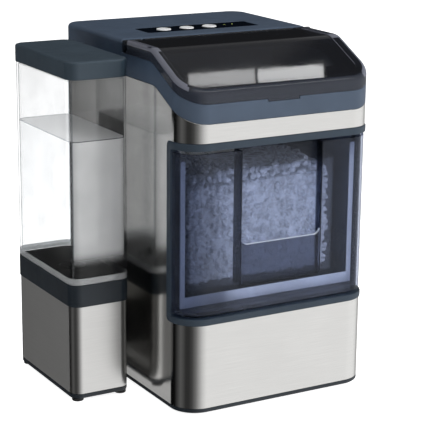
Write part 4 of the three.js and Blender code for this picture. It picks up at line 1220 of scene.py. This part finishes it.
def fill_ramp(ramp, stops):
    while len(ramp.elements) < len(stops):
        ramp.elements.new(0.5)
    for element, (angle, value) in zip(ramp.elements, stops):
        element.position = angle / 360
        element.color = (value, value, value, 1)


def softbox(name, place, target, size, power, along=(1, 0, 0), glossy=True, diffuse=True):
    """An area lamp at a place that faces a target, with its longer side along a direction."""
    back = (Vector(place) - Vector(target)).normalized()
    side = (Vector(along) - back * Vector(along).dot(back)).normalized()
    light = bpy.data.lights.new(name, "AREA")
    light.shape = "RECTANGLE"
    light.size, light.size_y = size
    light.energy = power
    obj = bpy.data.objects.new(name, light)
    SCENE.collection.objects.link(obj)
    turn = Matrix((side, back.cross(side), back)).transposed()
    obj.matrix_world = Matrix.Translation(place) @ turn.to_4x4()
    obj.visible_camera = False
    obj.visible_glossy = glossy
    obj.visible_diffuse = diffuse
    return obj


def lights():
    softbox("key", (1.5, -1.9, 1.5), (0, 0, 0.2), (1.4, 1.2), 58, glossy=False)
    softbox("overhead", (-0.5, -0.1, 2.1), (0, 0, 0.3), (1.6, 1.6), 22, glossy=False)
    softbox("bay_lamp", to_metres(128, 130, 360), to_metres(128, 110, 200), (0.16, 0.12), 0.012, glossy=False)
    softbox("bin_lamp", to_metres(158, 17, 206), to_metres(158, 60, 206), (0.170, 0.160), 0.17, glossy=False)
    slant = (0.98, -0.1, -0.17)
    lid_left = to_metres(64, 20, 391)
    lid_right = to_metres(150, 22, 392)
    softbox("lid_lamp_left", (0.571, 0.327, 1.325), lid_left, (0.125, 0.026), 0.055, slant, diffuse=False)
    softbox("lid_lamp_right", (0.706, 0.312, 1.30), lid_right, (0.125, 0.024), 0.075, slant, diffuse=False)
    softbox("lid_lamp_front", (0.54, -1.0, 1.9), to_metres(128, 2, 380), (1.6, 0.14), 3.0, diffuse=False)


def camera():
    data = bpy.data.cameras.new("camera")
    data.sensor_width = 36
    data.lens = 132.1
    obj = bpy.data.objects.new("camera", data)
    SCENE.collection.objects.link(obj)
    obj.location = (-0.9051, -1.6493, 0.6997)
    yaw, pitch, roll = math.radians(30.032), math.radians(14.979), math.radians(0.618)
    forward = Vector((math.sin(yaw) * math.cos(pitch), math.cos(yaw) * math.cos(pitch), -math.sin(pitch)))
    level = forward.to_track_quat("-Z", "Y").to_matrix()
    obj.rotation_euler = (level @ Matrix.Rotation(roll, 3, "Z")).to_euler()
    SCENE.camera = obj


dress_cad_nodes()
steel_body()
base()
top_cap()
lid()
control_strip()
push_buttons()
indicator_lamps()
drawer_frame()
drawer()
recess_shade_line()
drawer_flange()
ice_bin()
ice_nuggets()
ice_core()
tank_sleeve()
tank_base_pan()
tank_collar()
tank_wall()
tank_foot_ring()
tank_water()
tank_lid()
rear_cover()
rear_screws()
gland_bush()
drain()
floor()
surroundings()
lights()
camera()
SCENE.view_settings.view_transform = "Standard"
